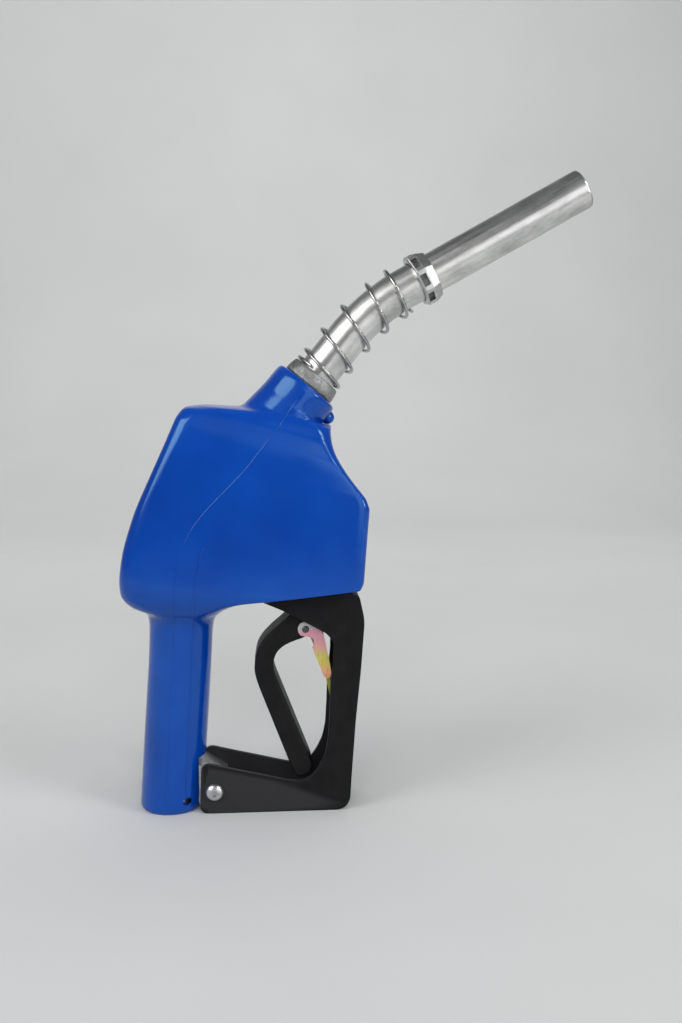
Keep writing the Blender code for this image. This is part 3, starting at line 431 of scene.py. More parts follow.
def cast_metal(name, dark, light, rough=(0.38, 0.62), grit=0.45, scale=700.0):
    """Sand or die cast alloy: grit, darker pits and soft mottle."""
    mat, tree, shader, where = start_material(name, 1.0)
    mottle = noise_layer(tree, where, 170.0, 6.0, 0.65)
    pits = noise_layer(tree, where, scale, 5.0, 0.6)
    bright = tuple(min(c * 1.12, 1.0) for c in light)
    colour = ramp(tree, mottle, [(0.30, dark), (0.55, light), (0.8, bright)])
    shade = ramp(tree, pits, [(0.34, (0.45, 0.45, 0.45)), (0.52, (1.0, 1.0, 1.0))])
    mix = add_node(tree, "ShaderNodeMix", data_type="RGBA", blend_type="MULTIPLY")
    mix.inputs["Factor"].default_value = 0.5
    tree.links.new(colour, mix.inputs["A"])
    tree.links.new(shade, mix.inputs["B"])
    tree.links.new(mix.outputs["Result"], shader.inputs["Base Color"])
    tree.links.new(stretch_value(tree, mottle, rough[1], rough[0]), shader.inputs["Roughness"])
    bump_chain(tree, shader, [(pits, grit, 0.0004), (mottle, grit * 0.5, 0.0008)])
    return mat


def turned_metal(name, dark, light, rough, ring=1500.0):
    """Machined or plated metal: fine tool rings and soft mottle."""
    mat, tree, shader, where = start_material(name, 1.0)
    rings = noise_layer(tree, where, ring, 3.0, 0.6, (0.06, 0.06, 1.0))
    mottle = noise_layer(tree, where, 240.0, 5.0)
    colour = ramp(tree, mottle, [(0.3, dark), (0.7, light)])
    tree.links.new(colour, shader.inputs["Base Color"])
    tree.links.new(stretch_value(tree, rings, *rough), shader.inputs["Roughness"])
    bump_chain(tree, shader, [(rings, 0.12, 0.00006), (mottle, 0.06, 0.0003)])
    return mat


def drawn_metal(name, dark, mid, light):
    """Drawn aluminium: streaks that follow the tube, cloudy oxide and scattered scuffs."""
    mat, tree, shader, where = start_material(name, 1.0, "UV")
    streak = noise_layer(tree, where, 260.0, 5.0, 0.6, (0.035, 1.0, 1.0))
    cloud = noise_layer(tree, where, 75.0, 6.0, 0.68, (0.5, 1.0, 1.0))
    scuff = noise_layer(tree, where, 900.0, 4.0, 0.7, (0.5, 0.22, 1.0), (0.0, 0.0, 0.6))
    colour = ramp(tree, cloud, [(0.28, dark), (0.5, mid), (0.75, light)])
    tint = ramp(tree, streak, [(0.3, (0.82, 0.83, 0.85)), (0.6, (1.0, 1.0, 1.0))])
    mix = add_node(tree, "ShaderNodeMix", data_type="RGBA", blend_type="MULTIPLY")
    mix.inputs["Factor"].default_value = 0.8
    tree.links.new(colour, mix.inputs["A"])
    tree.links.new(tint, mix.inputs["B"])
    tree.links.new(mix.outputs["Result"], shader.inputs["Base Color"])
    tree.links.new(stretch_value(tree, streak, 0.25, 0.40), shader.inputs["Roughness"])
    bump_chain(tree, shader, [(streak, 0.10, 0.0003), (scuff, 0.06, 0.0002), (cloud, 0.10, 0.0012)])
    return mat


def passivated(name):
    """Yellow passivated steel: bands of pink, yellow-green and salmon down the arm."""
    mat, tree, shader, where = start_material(name, 0.35)
    split = add_node(tree, "ShaderNodeSeparateXYZ")
    tree.links.new(where, split.inputs["Vector"])
    height = stretch_value(tree, split.outputs["Z"], 0.0, 1.0, 0.066, 0.115)
    cloud = noise_layer(tree, where, 110.0, 4.0)
    shift = stretch_value(tree, cloud, -0.05, 0.05)
    total = add_node(tree, "ShaderNodeMath", operation="ADD")
    tree.links.new(height, total.inputs[0])
    tree.links.new(shift, total.inputs[1])
    bands = [(0.0, (0.36, 0.42, 0.07)), (0.20, (0.46, 0.48, 0.08)), (0.28, (0.72, 0.34, 0.22)),
             (0.38, (0.74, 0.40, 0.20)), (0.52, (0.54, 0.52, 0.09)), (0.66, (0.66, 0.32, 0.32)),
             (0.86, (0.64, 0.29, 0.38)), (0.97, (0.50, 0.50, 0.48))]
    colour = ramp(tree, total.outputs["Value"], bands)
    tree.links.new(colour, shader.inputs["Base Color"])
    fine = noise_layer(tree, where, 1400.0, 3.0, 0.6, (1.0, 1.0, 0.12))
    tree.links.new(stretch_value(tree, fine, 0.24, 0.40), shader.inputs["Roughness"])
    bump_chain(tree, shader, [(fine, 0.04, 0.00004)])
    return mat


def rubber(name):
    """Black rubber with a dull, cloudy bloom."""
    mat, tree, shader, where = start_material(name, 0.0)
    bloom = noise_layer(tree, where, 180.0, 5.0, 0.7)
    colour = ramp(tree, bloom, [(0.3, (0.012, 0.012, 0.013)), (0.75, (0.035, 0.034, 0.033))])
    tree.links.new(colour, shader.inputs["Base Color"])
    tree.links.new(stretch_value(tree, bloom, 0.62, 0.82), shader.inputs["Roughness"])
    bump_chain(tree, shader, [(bloom, 0.12, 0.0003)])
    return mat


BLUE = vinyl("blue_vinyl", (0.0003, 0.040, 0.320), (0.0005, 0.049, 0.365), (0.001, 0.060, 0.405))
NYLON = moulded_black("black_nylon", (0.0055, 0.0055, 0.006), (0.0105, 0.0105, 0.0115))
# A slightly darker copy of the guard's nylon: painted shade on the lever.
LEVER_SHADE_BLACK = moulded_black("lever_nylon_in_shade", (0.0052, 0.0052, 0.0058), (0.0105, 0.0105, 0.0112))
CAST = cast_metal("cast_aluminium", (0.36, 0.365, 0.37), (0.56, 0.565, 0.565))
ADAPTER_CAST = cast_metal("adapter_casting", (0.19, 0.195, 0.19), (0.36, 0.365, 0.36),
                          (0.48, 0.66), 0.9, 520.0)
DRAWN = drawn_metal("drawn_aluminium", (0.42, 0.42, 0.412), (0.70, 0.695, 0.68),
                    (0.90, 0.895, 0.88))
ZINC = turned_metal("bright_zinc", (0.50, 0.50, 0.50), (0.66, 0.66, 0.65), (0.28, 0.42))
# A darker copy of the bright zinc for the faces inside the collar's pockets: painted shade in the
# recesses.
POCKET_PAINTED_SHADE = turned_metal("zinc_in_shade", (0.09, 0.09, 0.093), (0.24, 0.24, 0.245), (0.45, 0.60))
STEEL = turned_metal("steel", (0.48, 0.485, 0.49), (0.64, 0.64, 0.63), (0.24, 0.40))
DARK_STEEL = turned_metal("dark_steel", (0.07, 0.07, 0.075), (0.13, 0.13, 0.13), (0.34, 0.50))
SPRING_STEEL = turned_metal("spring_steel", (0.40, 0.40, 0.395), (0.55, 0.55, 0.54),
                            (0.20, 0.32), 500.0)
BRASS = turned_metal("brass", (0.58, 0.40, 0.16), (0.78, 0.58, 0.26), (0.22, 0.36))
CHROMATE = passivated("yellow_chromate")
RUBBER = rubber("black_rubber")


# ---------------------------------------------------------------- hand cover

def cover_stations():
    """Sections up the body in mm: left edge, right edge, half width, left and right
    corner radius, then how far the left and the right edge's bend is softened."""
    half = BODY_HALF
    neck = NECK_R
    n = (sin(NECK_ANGLE), cos(NECK_ANGLE))

    def across_neck(back, radius, half_width, corner, soft):
        x = NECK_AT[0] - back * n[1]
        z = NECK_AT[1] - BODY_FOOT - back * n[0]
        return (x - radius * n[0], z + radius * n[1], x + radius * n[0], z - radius * n[1],
                half_width, corner, corner, soft, soft)

    def grip_at(part, shrink=0.0, soft=3.0):
        x = HANDLE_FOOT + HANDLE_LEAN * part
        z = -BODY_FOOT * (1.0 - part)
        r = GRIP_R - shrink
        return (x - r, z, x + r, z, r, r * 0.96, r * 0.96, soft, soft)

    return [
        grip_at(0.0, 1.8),
        grip_at(0.0166, 0.25, 2.0),
        grip_at(0.05),
        grip_at(0.45),
        grip_at(0.80, 0.2, 12.0),
        (-10.4, -4.0, 26.8, -8.0, 19.0, 18.0, 18.0, 3.0, 6.0),
        (-11.4, 3.0, 28.4, -1.0, 21.0, 17.0, 17.0, 3.0, 6.0),
        (-20.4, 8.2, 33.6, 5.2, 26.0, 14.0, 12.0, 3.0, 6.0),
        (-24.6, 14.5, 43.6, 10.4, half - 1.5, 12.0, 8.0, 3.0, 8.0),
        (-25.0, 24.0, 72.0, 13.2, half, 11.0, 4.4, 4.0, 6.0),
        (-23.6, 35.0, 113.2, 17.9, half, 10.0, 3.6, 8.0, 0.9),
        (-21.5, 45.1, 115.2, 22.4, half, 10.0, 3.6, 8.0, 1.2),
        (-14.8, 65.1, 116.8, 44.0, half, 9.0, 4.4, 8.0, 8.0),
        (-6.0, 84.0, 118.4, 65.0, half, 8.0, 4.4, 8.0, 1.2),
        (2.8, 103.0, 116.4, 71.0, half, 8.0, 4.4, 8.0, 2.0),
        (9.3, 118.0, 105.6, 84.6, half - 1.0, 9.0, 5.0, 2.5, 8.0),
        (13.4, 123.4, 98.2, 97.4, half - 3.0, 11.0, 6.5, 2.5, 8.0),
        (22.8, 124.4, 96.6, 108.0, half - 5.5, 15.0, 9.0, 3.0, 8.0),
        (45.6, 123.4, 98.0, 113.6, half - 9.0, 20.0, 17.0, 3.0, 6.0),
        across_neck(15.0, neck + 0.1, neck + 0.3, neck * 0.97, 3.0),
        across_neck(3.2, neck, neck, neck * 0.96, 2.0),
        across_neck(0.8, neck - 0.7, neck - 0.9, (neck - 0.9) * 0.96, 1.5),
        across_neck(0.0, neck - 2.8, neck - 2.8, (neck - 2.8) * 0.96, 1.0),
    ]


def softened(rows):
    """Sections along the rows with each bend of the two edges rounded off."""
    pitch = 2.4                     # mm between sections on the straight stretches
    segments = 5                    # sections across each bend
    most = 0.46                     # part of a stretch that one bend may take

    def mix(p, q, t_left, t_right):
        t_both = (t_left + t_right) / 2
        t = (t_left, t_left, t_right, t_right, t_both, t_left, t_right)
        return [a + (b - a) * k for a, b, k in zip(p[:7], q[:7], t)]

    def shares(here, other):
        found = []
        for edge in (0, 2):
            span = sqrt((other[edge] - here[edge]) ** 2 + (other[edge + 1] - here[edge + 1]) ** 2)
            found.append(min(here[7 + edge // 2] / max(span, 0.01), most))
        return found

    sections = [list(rows[0][:7])]
    for i in range(1, len(rows) - 1):
        back = mix(rows[i], rows[i - 1], *shares(rows[i], rows[i - 1]))
        ahead = mix(rows[i], rows[i + 1], *shares(rows[i], rows[i + 1]))
        last = sections[-1]
        span = max(sqrt((back[0] - last[0]) ** 2 + (back[1] - last[1]) ** 2),
                   sqrt((back[2] - last[2]) ** 2 + (back[3] - last[3]) ** 2))
        steps = max(1, round(span / pitch))
        for k in range(1, steps):
            sections.append([a + (b - a) * k / steps for a, b in zip(last, back)])
        for k in range(segments + 1):
            t = k / segments
            sections.append([a * (1 - t) ** 2 + m * 2 * t * (1 - t) + b * t ** 2
                             for a, m, b in zip(back, rows[i][:7], ahead)])
    sections.append(list(rows[-1][:7]))
    return sections


def cover_ring(row):
    """Rounded rectangle of points standing on the chord between left and right."""
    per_corner = 11
    per_side = 6
    lx, lz, rx, rz, half, left_corner, right_corner = row
    a = body_at(lx, lz)
    b = body_at(rx, rz)
    middle = (a + b) / 2
    along = (b - a).normalized()
    reach = (b - a).length / 2 / MM
    most = min(reach, half) * 0.97
    arcs = []
    for quarter in range(4):
        sx = (1, -1, -1, 1)[quarter]
        sy = (1, 1, -1, -1)[quarter]
        corner = min(right_corner if sx > 0 else left_corner, most)
        arc = []
        for k in range(per_corner):
            angle = quarter * pi / 2 + k / (per_corner - 1) * pi / 2
            arc.append((sx * (reach - corner) + corner * cos(angle),
                        sy * (half - corner) + corner * sin(angle)))
        arcs.append(arc)
    points = []
    for arc, following in zip(arcs, arcs[1:] + arcs[:1]):
        points += arc
        x, y = arc[-1]
        u, v = following[0]
        for k in range(1, per_side):
            t = k / per_side
            points.append((x + (u - x) * t, y + (v - y) * t))
    return [middle + along * dx * MM + Vector((0.0, dy * MM, 0.0)) for dx, dy in points]


def cover_skin():
    """Outer and inner skins of the cover as one closed shell."""
    sections = softened(cover_stations())
    bm = bmesh.new()
    outer = [[bm.verts.new(p) for p in cover_ring(row)] for row in sections]
    count = len(outer[0])
    for low, high in zip(outer, outer[1:]):
        for i in range(count):
            j = (i + 1) % count
            bm.faces.new((low[i], low[j], high[j], high[i]))
    middle = [v for ring in outer[4:-6] for v in ring]
    for _ in range(2):
        bmesh.ops.smooth_vert(bm, verts=middle, factor=0.3, use_axis_x=True,
                              use_axis_y=True, use_axis_z=True)
    bmesh.ops.recalc_face_normals(bm, faces=bm.faces[:])
    bm.normal_update()
    inner = [[bm.verts.new(v.co - v.normal * COVER_WALL * MM) for v in ring] for ring in outer]
    for low, high in zip(inner, inner[1:]):
        for i in range(count):
            j = (i + 1) % count
            bm.faces.new((low[j], low[i], high[i], high[j]))
    for a, b in ((outer[0], inner[0]), (inner[-1], outer[-1])):
        for i in range(count):
            j = (i + 1) % count
            bm.faces.new((a[j], a[i], b[i], b[j]))
    return new_object(bm, "cover")


def surface_line(tree, spots, side):
    """Points on the cover's side wall above (x, z) spots, sunk a little into it."""
    well_outside = 80.0
    points = []
    for x, z in spots:
        start = at(x, z, side * well_outside)
        hit = tree.ray_cast(start, Vector((0.0, -side, 0.0)))[0]
        if hit is not None:
            points.append(hit - Vector((0.0, side * LINE_SINK * MM, 0.0)))
    return points


def line_spots(spots):
    """A smooth run of (x, z) spots through a few given ones."""
    steps = 7
    knots = [0.0]
    for p, q in zip(spots, spots[1:]):
        knots.append(knots[-1] + sqrt((q[0] - p[0]) ** 2 + (q[1] - p[1]) ** 2))
    return [tuple(s) for s in hermite(knots, [list(s) for s in spots], [steps] * (len(spots) - 1))]


def hand_cover():
    """Vinyl cover: shell, openings for hose, neck, guard and lug, screw dome, mould lines."""
    obj = cover_skin()
    bm = bmesh.new()
    bm.from_mesh(obj.data)
    wall = BVHTree.FromBMesh(bm)
    bm.free()
    base = NECK_AXIS @ Vector((0.0, 0.0, -7.0 * MM))
    screw_axis = axis_matrix(base, NECK_ANGLE - pi / 2)
    cut(obj, rod(15.6, -3.0, 3.6, HANDLE_AXIS))
    cut(obj, rod(17.2, -5.0, 4.0, NECK_AXIS, 64))
    slot = [(47.0, 114.0), (112.0, 114.0), (112.0, 133.6), (108.0, 140.0), (47.0, 140.0)]
    cut(obj, prism(round_outline(slot, 3.0), 2 * GUARD_HALF + PLAY))
    for start, width in ((8.6, LUG_NECK), (17.7, 2 * LUG_HALF)):
        gate = [(start, 4.2), (40.0, 4.2), (40.0, 33.0), (start, 33.0)]
        cut(obj, prism(gate, width + PLAY))
    cut(obj, rod(2.4, 5.0, 30.0, across(11.0, 7.7)))
    dome = lathe([(0.0, 24.6), (1.2, 24.45), (2.3, 23.9), (3.2, 23.0), (3.8, 21.9),
                  (4.1, 20.6), (4.2, 19.0), (0.0, 19.0)], screw_axis, 32)
    add_mesh(obj, dome)
    outer = [(-2.2, 6.0), (0.4, 40.0), (2.6, 75.0), (4.9, 107.0), (6.5, 130.5), (8.4, 148.1),
             (12.1, 162.0), (17.4, 172.7), (25.0, 182.5), (36.0, 194.0), (47.8, 206.3),
             (58.4, 219.6), (68.2, 232.4), (77.6, 245.2)]
    inner = [(9.7, 8.0), (11.6, 40.0), (13.4, 70.9), (15.8, 106.8), (17.6, 130.4), (19.4, 147.0),
             (21.8, 156.7), (24.6, 163.0)]
    for spots in (outer, inner):
        for side in (-1.0, 1.0):
            points = surface_line(wall, line_spots(spots), side)
            add_mesh(obj, tube_along(points, LINE_RADIUS, 8))
    finish_piece(obj, "hand_cover", "nozzle_body", BLUE, 50.0)


# ---------------------------------------------------------------- spout, adapter, collar, coil

def path_point(length):
    """Point and outward normal of the spout's centre line at a length in mm."""
    n = Vector((cos(NECK_ANGLE), 0.0, sin(NECK_ANGLE)))
    side = Vector((sin(NECK_ANGLE), 0.0, -cos(NECK_ANGLE)))
    arc = (NECK_ANGLE - TIP_ANGLE) * BEND_RADIUS
    start = at(*NECK_AT)
    if length < BEND_START:
        return start + n * length * MM, Vector((-n.z, 0.0, n.x))
    turned = min(length - BEND_START, arc)
    angle = NECK_ANGLE - turned / BEND_RADIUS
    out = Vector((-sin(angle), 0.0, cos(angle)))
    along = Vector((cos(angle), 0.0, sin(angle)))
    centre = start + (n * BEND_START + side * BEND_RADIUS) * MM
    point = centre + out * BEND_RADIUS * MM + along * (length - BEND_START - turned) * MM
    return point, out


SPOUT_TOTAL = BEND_START + (NECK_ANGLE - TIP_ANGLE) * BEND_RADIUS + SPOUT_STRAIGHT


def spout_tube():
    """Drawn tube with a rounded mouth and a small hole; UVs run along and round it, in metres."""
    steps = 96
    outside_rings = 100
    mouth_rings = 6
    inside_rings = 40
    last_straight = SPOUT_TOTAL - 1.4
    middle = (SPOUT_R + SPOUT_IN) / 2
    half = (SPOUT_R - SPOUT_IN) / 2
    stations = []
    for i in range(outside_rings + 1):
        length = -SPOUT_ROOT + (last_straight + SPOUT_ROOT) * i / outside_rings
        stations.append((length, SPOUT_R))
    for k in range(1, mouth_rings + 1):
        a = pi * k / mouth_rings
        stations.append((SPOUT_TOTAL - half + half * sin(a), middle + half * cos(a)))
    for i in range(1, inside_rings + 1):
        length = last_straight - (last_straight + SPOUT_ROOT) * i / inside_rings
        stations.append((length, SPOUT_IN))
    bm = bmesh.new()
    uv = bm.loops.layers.uv.new("along")
    rings = []
    for length, radius in stations:
        point, out = path_point(length)
        ring = []
        for k in range(steps):
            a = 2 * pi * k / steps
            wobble = 0.07 * noise.noise(Vector((length * 0.05, cos(a) * 1.2, sin(a) * 1.2)))
            r = (radius + wobble - SPOUT_TRIM) * MM
            ring.append(bm.verts.new(point + out * r * cos(a) + Vector((0.0, r * sin(a), 0.0))))
        rings.append(ring)
    for i in range(len(rings)):
        n = (i + 1) % len(rings)
        for k in range(steps):
            j = (k + 1) % steps
            face = bm.faces.new((rings[i][k], rings[i][j], rings[n][j], rings[n][k]))
            spots = ((i, k), (i, k + 1), (n, k + 1), (n, k))
            for loop, (row, column) in zip(face.loops, spots):
                loop[uv].uv = (stations[row][0] * MM, column / steps * 2 * pi * SPOUT_R * MM)
    obj = new_object(bm, "spout")
    hole = path_point(SPOUT_TOTAL - 14.0)[0]
    cut(obj, rod(1.8, 8.0, 14.0, axis_matrix(hole, TIP_ANGLE - pi / 2)))
    finish_piece(obj, "spout_tube", "nozzle_body", DRAWN, 50.0)


def spout_adapter():
    """Rough cast ring between neck and spout; only its outer face beyond the neck is rough."""
    profile = [(12.2, 8.2), (13.2, 8.2), (14.4, 8.15), (15.0, 7.9), (15.5, 7.2), (15.9, 5.6),
               (16.3, 3.6), (16.5, 2.0), (16.5, 0.9), (16.3, 0.45), (15.9, 0.3), (14.2, 0.3),
               (14.2, -16.0), (8.0, -16.0), (8.0, -12.6), (12.2, -12.6)]
    obj = lathe(profile, NECK_AXIS, 96)
    sub = obj.modifiers.new("sub", "SUBSURF")
    sub.subdivision_type = "SIMPLE"
    sub.levels = 1
    sub.render_levels = 1
    bake(obj)
    for v in obj.data.vertices:
        rough = noise.fractal(v.co * 260.0, 1.0, 2.0, 4) * 0.10 - 0.05
        spot = NECK_AXIS.inverted() @ v.co
        outward = Vector((spot.x, spot.y, 0.0))
        if outward.length > 13.0 * MM and spot.z > 0.4 * MM:
            v.co += (NECK_AXIS.to_3x3() @ outward.normalized()) * rough * MM
    finish_piece(obj, "spout_adapter", "nozzle_body", ADAPTER_CAST, 50.0)


def spout_collar():
    """Zinc octagon: a pocket in the base half of each flat, its faces in painted shade, a chamfer
    toward the tip.
    """
    tip = path_point(SPOUT_TOTAL)[0]
    place = axis_matrix(tip, TIP_ANGLE) @ Matrix.Rotation(radians(7.0), 4, "Z")
    back = -COLLAR_FROM_TIP
    flats = 8
    corner = COLLAR_FLAT / cos(pi / flats)
    turned = place @ Matrix.Rotation(pi / flats, 4, "Z")
    obj = lathe([(0.0, back + 10.6), (14.2, back + 10.6), (corner, back + 6.0),
                 (corner, back + 0.8), (corner - 0.8, back), (0.0, back)], turned, flats)
    bevel(obj, 0.35, 3, 20.0)
    cut(obj, rod(COLLAR_BORE, back - 1.0, back + 12.0, place, 96))
    depth, width, length = 3.0, 7.2, 3.8
    bm = bmesh.new()
    for k in range(flats):
        turn = Matrix.Rotation(2 * pi * k / flats, 4, "Z")
        spot = place @ turn @ Matrix.Translation((COLLAR_FLAT * MM, 0.0, (back + 3.0) * MM))
        size = Matrix.Diagonal((depth * MM, width * MM, length * MM, 1.0))
        bmesh.ops.create_cube(bm, size=1.0, matrix=spot @ size)
    cut(obj, new_object(bm, "pockets"))
    bevel(obj, 0.15, 2, 60.0)
    obj.data.materials.clear()
    obj.data.materials.append(ZINC)
    obj.data.materials.append(POCKET_PAINTED_SHADE)
    # Faces inside the pockets take the darker zinc: painted shade in the recesses.
    inverse = place.inverted()
    for face in obj.data.polygons:
        spot = inverse @ face.center
        reach = sqrt(spot.x ** 2 + spot.y ** 2) / MM
        inside = 12.6 < reach < 14.6 and back + 1.2 < spot.z / MM < back + 4.8
        face.material_index = 1 if inside else 0
    finish_piece(obj, "spout_collar", "nozzle_body", ZINC, 25.0)


def anchor_spring():
    """Loose coil round the spout, its first turns close together at the adapter."""
    marks = [(-0.18, 9.5), (0.0, 9.8), (0.5, 10.6), (1.0, 15.5), (1.5, 22.4), (2.0, 30.6),
             (2.5, 38.6), (3.0, 46.9), (3.5, 55.9), (4.0, 63.8), (4.5, 72.0), (5.0, 75.6),
             (5.45, 78.3)]          # turns, and mm along the spout where they are reached
    rows = hermite([m[0] for m in marks], [list(m) for m in marks], [20] * (len(marks) - 1))
    points = []
    for turn, length in rows:
        point, out = path_point(length)
        angle = 2 * pi * turn
        r = COIL_R * MM
        points.append(point + out * r * cos(angle) + Vector((0.0, r * sin(angle), 0.0)))
    obj = tube_along(points, COIL_WIRE, 14)
    finish_piece(obj, "anchor_spring", "nozzle_body", SPRING_STEEL, 50.0)


# ---------------------------------------------------------------- guard, lever, screw

def body_outline(points):
    """Outline points counted from the foot of the valve body, moved to the floor."""
    return [(x, z + BODY_FOOT) for x, z in points]


def lever_guard():
    """Moulded guard: two rounded side plates joined by a web with four grooves inside."""
    low = [(18.6, 3.4), (20.4, 0.6), (23.0, 0.0), (101.0, 0.0), (105.4, 1.6), (108.2, 6.0),
           (109.4, 25.4)]
    side = [(111.6, -62.0), (114.6, -31.5), (116.6, -4.0), (116.2, 0.6), (113.8, 11.5),
            (112.6, 13.4), (110.0, 13.4), (110.0, 16.4), (106.2, 16.4), (106.2, 24.0),
            (72.0, 24.0), (67.2, 14.2), (57.0, 13.6), (52.7, 11.4), (69.0, 4.3),
            (94.2, -9.5), (98.4, -15.0), (98.1, -27.2), (96.4, -41.0), (95.8, -60.0)]
    heel = [(95.0, 44.0), (93.2, 35.0), (89.4, 27.0), (85.4, 21.6), (80.1, 18.6),
            (70.8, 19.2), (56.0, 22.8), (36.5, 27.4), (23.8, 30.6), (19.6, 28.6)]
    outline = round_outline(low + body_outline(side) + heel, 2.6, 4)
    obj = prism(outline, 2 * GUARD_HALF)
    bevel(obj, 1.2, 4, 50.0)
    wall = GUARD_WALL
    low = [(10.0, 40.0), (10.0, -5.0), (36.0, -5.0), (36.0, wall), (100.6, wall),
           (103.6, 4.2), (105.4, 7.4), (109.4 - wall, 25.4)]
    side = [(111.6 - wall, -62.0), (114.6 - wall, -31.5), (116.4 - wall, -4.0),
            (110.6 - wall, 12.0), (110.2 - wall, 17.4), (110.2 - wall, 30.0), (40.0, 30.0)]
    channel = round_outline(low + body_outline(side), 3.0, 3)
    cut(obj, prism(channel, 2 * (GUARD_HALF - wall)))
    grooves = 4
    for k in range(grooves):
        cut(obj, rod(1.6, -9.0, 9.0, across(109.7 + 0.5 * k, 74.0 + 6.0 * k), 16))
    cut(obj, rod(3.2, -25.0, 25.0, across(*SCREW_AT)))
    bevel(obj, 0.5, 2, 60.0)
    finish_piece(obj, "lever_guard", "nozzle_body", NYLON, 40.0)


def lever():
    """Moulded lever: fork and bore for its pin, sunk bore for the clip's rivet."""
    foot = [(74.6, 21.6), (71.0, 30.7)]
    upper = [(54.5, -43.8), (52.2, -36.7), (51.4, -31.6), (52.3, -24.6), (53.6, -19.0),
             (57.0, -13.8), (62.4, -8.3), (69.4, -2.5), (80.2, 8.6), (86.8, 23.8),
             (87.4, 28.4), (90.0, 31.8), (94.0, 33.0), (98.0, 31.8), (100.6, 28.4),
             (101.0, 24.6), (99.4, 20.4), (93.0, 6.0), (88.4, -4.6), (84.0, -11.6),
             (80.0, -13.6), (74.4, -15.4), (68.4, -18.3), (64.5, -22.3), (62.7, -27.8),
             (63.4, -33.8)]
    heel = [(83.4, 32.5), (86.0, 25.6), (85.0, 21.0), (80.5, 18.8), (76.6, 19.2)]
    outline = round_outline(foot + body_outline(upper) + heel, 6.0, 4)
    obj = prism(outline, 2 * LEVER_HALF)
    bevel(obj, 1.6, 4, 50.0)
    fork = [(82.0, 12.0), (104.0, 8.0), (104.0, 40.0), (82.0, 40.0)]
    cut(obj, prism(body_outline(fork), FORK_GAP))
    cut(obj, rod(PIN_BORE, -20.0, 20.0, across(*PIVOT_AT)))
    cut(obj, rod(RIVET_BORE, -20.0, 20.0, across(*CLIP_AT)))
    cut(obj, rod(RIVET_SINK, -20.0, -LEVER_HALF + 3.4, across(*CLIP_AT)))
    bevel(obj, 0.3, 2, 60.0)
    finish_piece(obj, "lever", "lever_body", LEVER_SHADE_BLACK, 40.0)


def guard_screw():
    """Pan-head screw with a star recess."""
    place = across(*SCREW_AT)
    face = GUARD_HALF + 0.3
    profile = [(0.0, face + 3.5), (1.6, face + 3.45), (3.0, face + 3.15), (4.1, face + 2.6),
               (4.8, face + 1.9), (5.15, face + 1.1), (5.25, face + 0.4), (5.1, face),
               (2.9, face), (2.9, -GUARD_HALF - 6.0), (0.0, -GUARD_HALF - 6.0)]
    obj = lathe(profile, place, 64)
    steps = 36
    bm = bmesh.new()
    low = []
    high = []
    for k in range(steps):
        a = 2 * pi * k / steps
        r = (1.75 + 0.42 * cos(6 * a)) * MM
        low.append(bm.verts.new((r * cos(a), r * sin(a), (face + 1.6) * MM)))
        high.append(bm.verts.new((r * cos(a) * 1.06, r * sin(a) * 1.06, (face + 5.0) * MM)))
    bm.faces.new(low)
    bm.faces.new(high)
    for k in range(steps):
        j = (k + 1) % steps
        bm.faces.new((low[k], low[j], high[j], high[k]))
    star = new_object(bm, "star")
    star.matrix_world = place
    cut(obj, bake(star))
    finish_piece(obj, "guard_screw", "nozzle_body", ZINC, 35.0)


# ---------------------------------------------------------------- materials on the CAD nodes

FINISH = {
    "body_casting": CAST, "vent_tube": STEEL, "spout_set_screw": STEEL, "lever_pin": DARK_STEEL,
    "hold_open_clip": CHROMATE, "clip_rivet": DARK_STEEL, "clip_spring": SPRING_STEEL,
    "guard_nut": ZINC, "guard_washer": ZINC, "main_valve_stem": STEEL, "packing_nut": BRASS,
    "stem_packing": RUBBER, "main_valve_seat": BRASS, "main_valve_disc": RUBBER,
    "main_valve_poppet": BRASS, "main_valve_spring": SPRING_STEEL, "main_valve_cap": CAST,
    "cap_o_ring": RUBBER, "latch_plunger": STEEL, "latch_ball_1": SPRING_STEEL,
    "latch_ball_2": SPRING_STEEL, "latch_ball_3": SPRING_STEEL, "latch_ring": STEEL,
    "latch_sleeve": CAST, "latch_plunger_spring": SPRING_STEEL, "latch_pin": STEEL,
    "diaphragm": RUBBER, "diaphragm_plate": ZINC, "diaphragm_nut": ZINC,
    "diaphragm_spring": SPRING_STEEL, "diaphragm_cap": CAST, "diaphragm_screw_1": ZINC,
    "diaphragm_screw_2": ZINC, "diaphragm_screw_3": ZINC, "diaphragm_screw_4": ZINC,
    "check_valve_seat": BRASS, "check_valve_poppet": BRASS, "check_valve_spring": SPRING_STEEL,
    "inlet_strainer": STEEL,
}

for name, mat in FINISH.items():
    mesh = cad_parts[name].data
    for index in range(len(mesh.materials)):
        mesh.materials[index] = mat

hand_cover()
spout_tube()
spout_adapter()
spout_collar()
anchor_spring()
lever_guard()
lever()
guard_screw()


# ---------------------------------------------------------------- floor, light, camera

def pale_floor():
    """One sheet: floor in front, swept up behind."""
    half_width = 3.0
    front = -0.8
    bend_at = 1.2
    bend = 0.9
    height = 3.2
    steps = 12
    bm = bmesh.new()
    profile = [(front, 0.0), (bend_at, 0.0)]
    for k in range(1, steps + 1):
        a = pi / 2 * k / steps
        profile.append((bend_at + bend * sin(a), bend - bend * cos(a)))
    profile.append((bend_at + bend, height))
    rows = []
    for y, z in profile:
        rows.append([bm.verts.new((x, y, z)) for x in (-half_width, half_width)])
    for low, high in zip(rows, rows[1:]):
        bm.faces.new((low[0], low[1], high[1], high[0]))
    obj = new_object(bm, "floor")
    smooth(obj, 60.0)
    mat, tree, shader, where = start_material("floor_paint", 0.0)
    cloud = noise_layer(tree, where, 3.0, 3.0)
    colour = ramp(tree, cloud, [(0.3, (0.60, 0.61, 0.605)), (0.7, (0.63, 0.64, 0.635))])
    tree.links.new(colour, shader.inputs["Base Color"])
    shader.inputs["Roughness"].default_value = 0.9
    shader.inputs["Specular IOR Level"].default_value = 0.1
    obj.data.materials.append(mat)


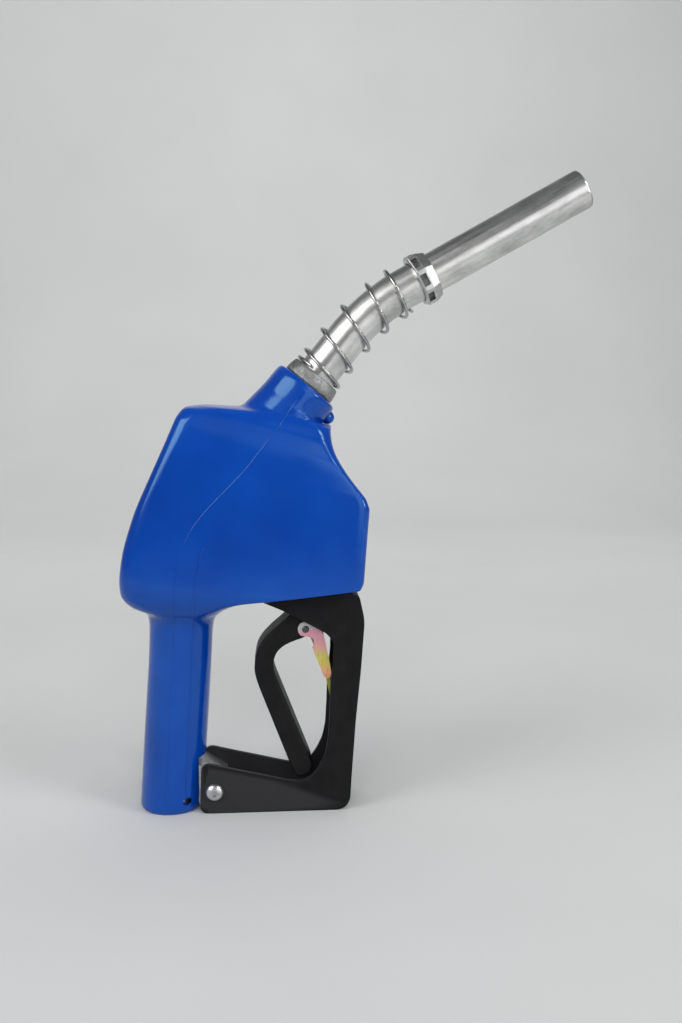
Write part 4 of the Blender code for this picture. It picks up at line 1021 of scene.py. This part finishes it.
def area_light(name, place, target, size, energy, card=False):
    """Rectangular light; a card is only seen in reflections, any other light never is."""
    data = bpy.data.lights.new(name, "AREA")
    data.energy = energy
    data.shape = "RECTANGLE"
    data.size = size[0]
    data.size_y = size[1]
    obj = bpy.data.objects.new(name, data)
    bpy.context.scene.collection.objects.link(obj)
    obj.location = place
    toward = Vector(target) - Vector(place)
    obj.rotation_euler = toward.to_track_quat("-Z", "Y").to_euler()
    obj.visible_glossy = card
    obj.visible_diffuse = not card


pale_floor()
nozzle_middle = (0.0, 0.0, 0.2)
fill_place = (1.0, -0.7, 0.75)
area_light("key", (-0.95, -0.60, 0.85), nozzle_middle, (0.6, 0.6), 5.5)
area_light("key_card", (-0.90, -0.72, 0.85), nozzle_middle, (1.1, 0.9), 13.0, card=True)
area_light("fill", fill_place, nozzle_middle, (0.5, 0.6), 7.0)
area_light("fill_card", fill_place, nozzle_middle, (0.4, 0.9), 14.0, card=True)
area_light("front", (-0.1, -1.8, 1.1), nozzle_middle, (1.4, 1.0), 17.0)
area_light("spout_card", (0.5, -1.2, 0.36), (0.08, 0.0, 0.32), (0.6, 0.75), 1.8, card=True)
area_light("backdrop", (0.0, 0.75, 1.5), (0.0, 1.9, 0.3), (2.8, 0.6), 19.0)
area_light("table", (0.0, -0.3, 2.0), (0.0, -0.1, 0.0), (0.8, 0.8), 6.0)

world = bpy.data.worlds.new("studio")
world.use_nodes = True
background = world.node_tree.nodes["Background"]
background.inputs["Color"].default_value = (0.95, 0.97, 1.0, 1.0)
background.inputs["Strength"].default_value = 0.15
bpy.context.scene.world = world
bpy.context.scene.view_settings.view_transform = "Standard"

camera_data = bpy.data.cameras.new("camera")
camera_data.lens = 35.0
camera_data.sensor_width = 36.0
camera_data.sensor_fit = "AUTO"
camera = bpy.data.objects.new("camera", camera_data)
bpy.context.scene.collection.objects.link(camera)
camera.location = (-0.052084, -0.587316, 0.251033)
camera.rotation_euler = (radians(83.0), 0.0, radians(-4.2))
bpy.context.scene.camera = camera
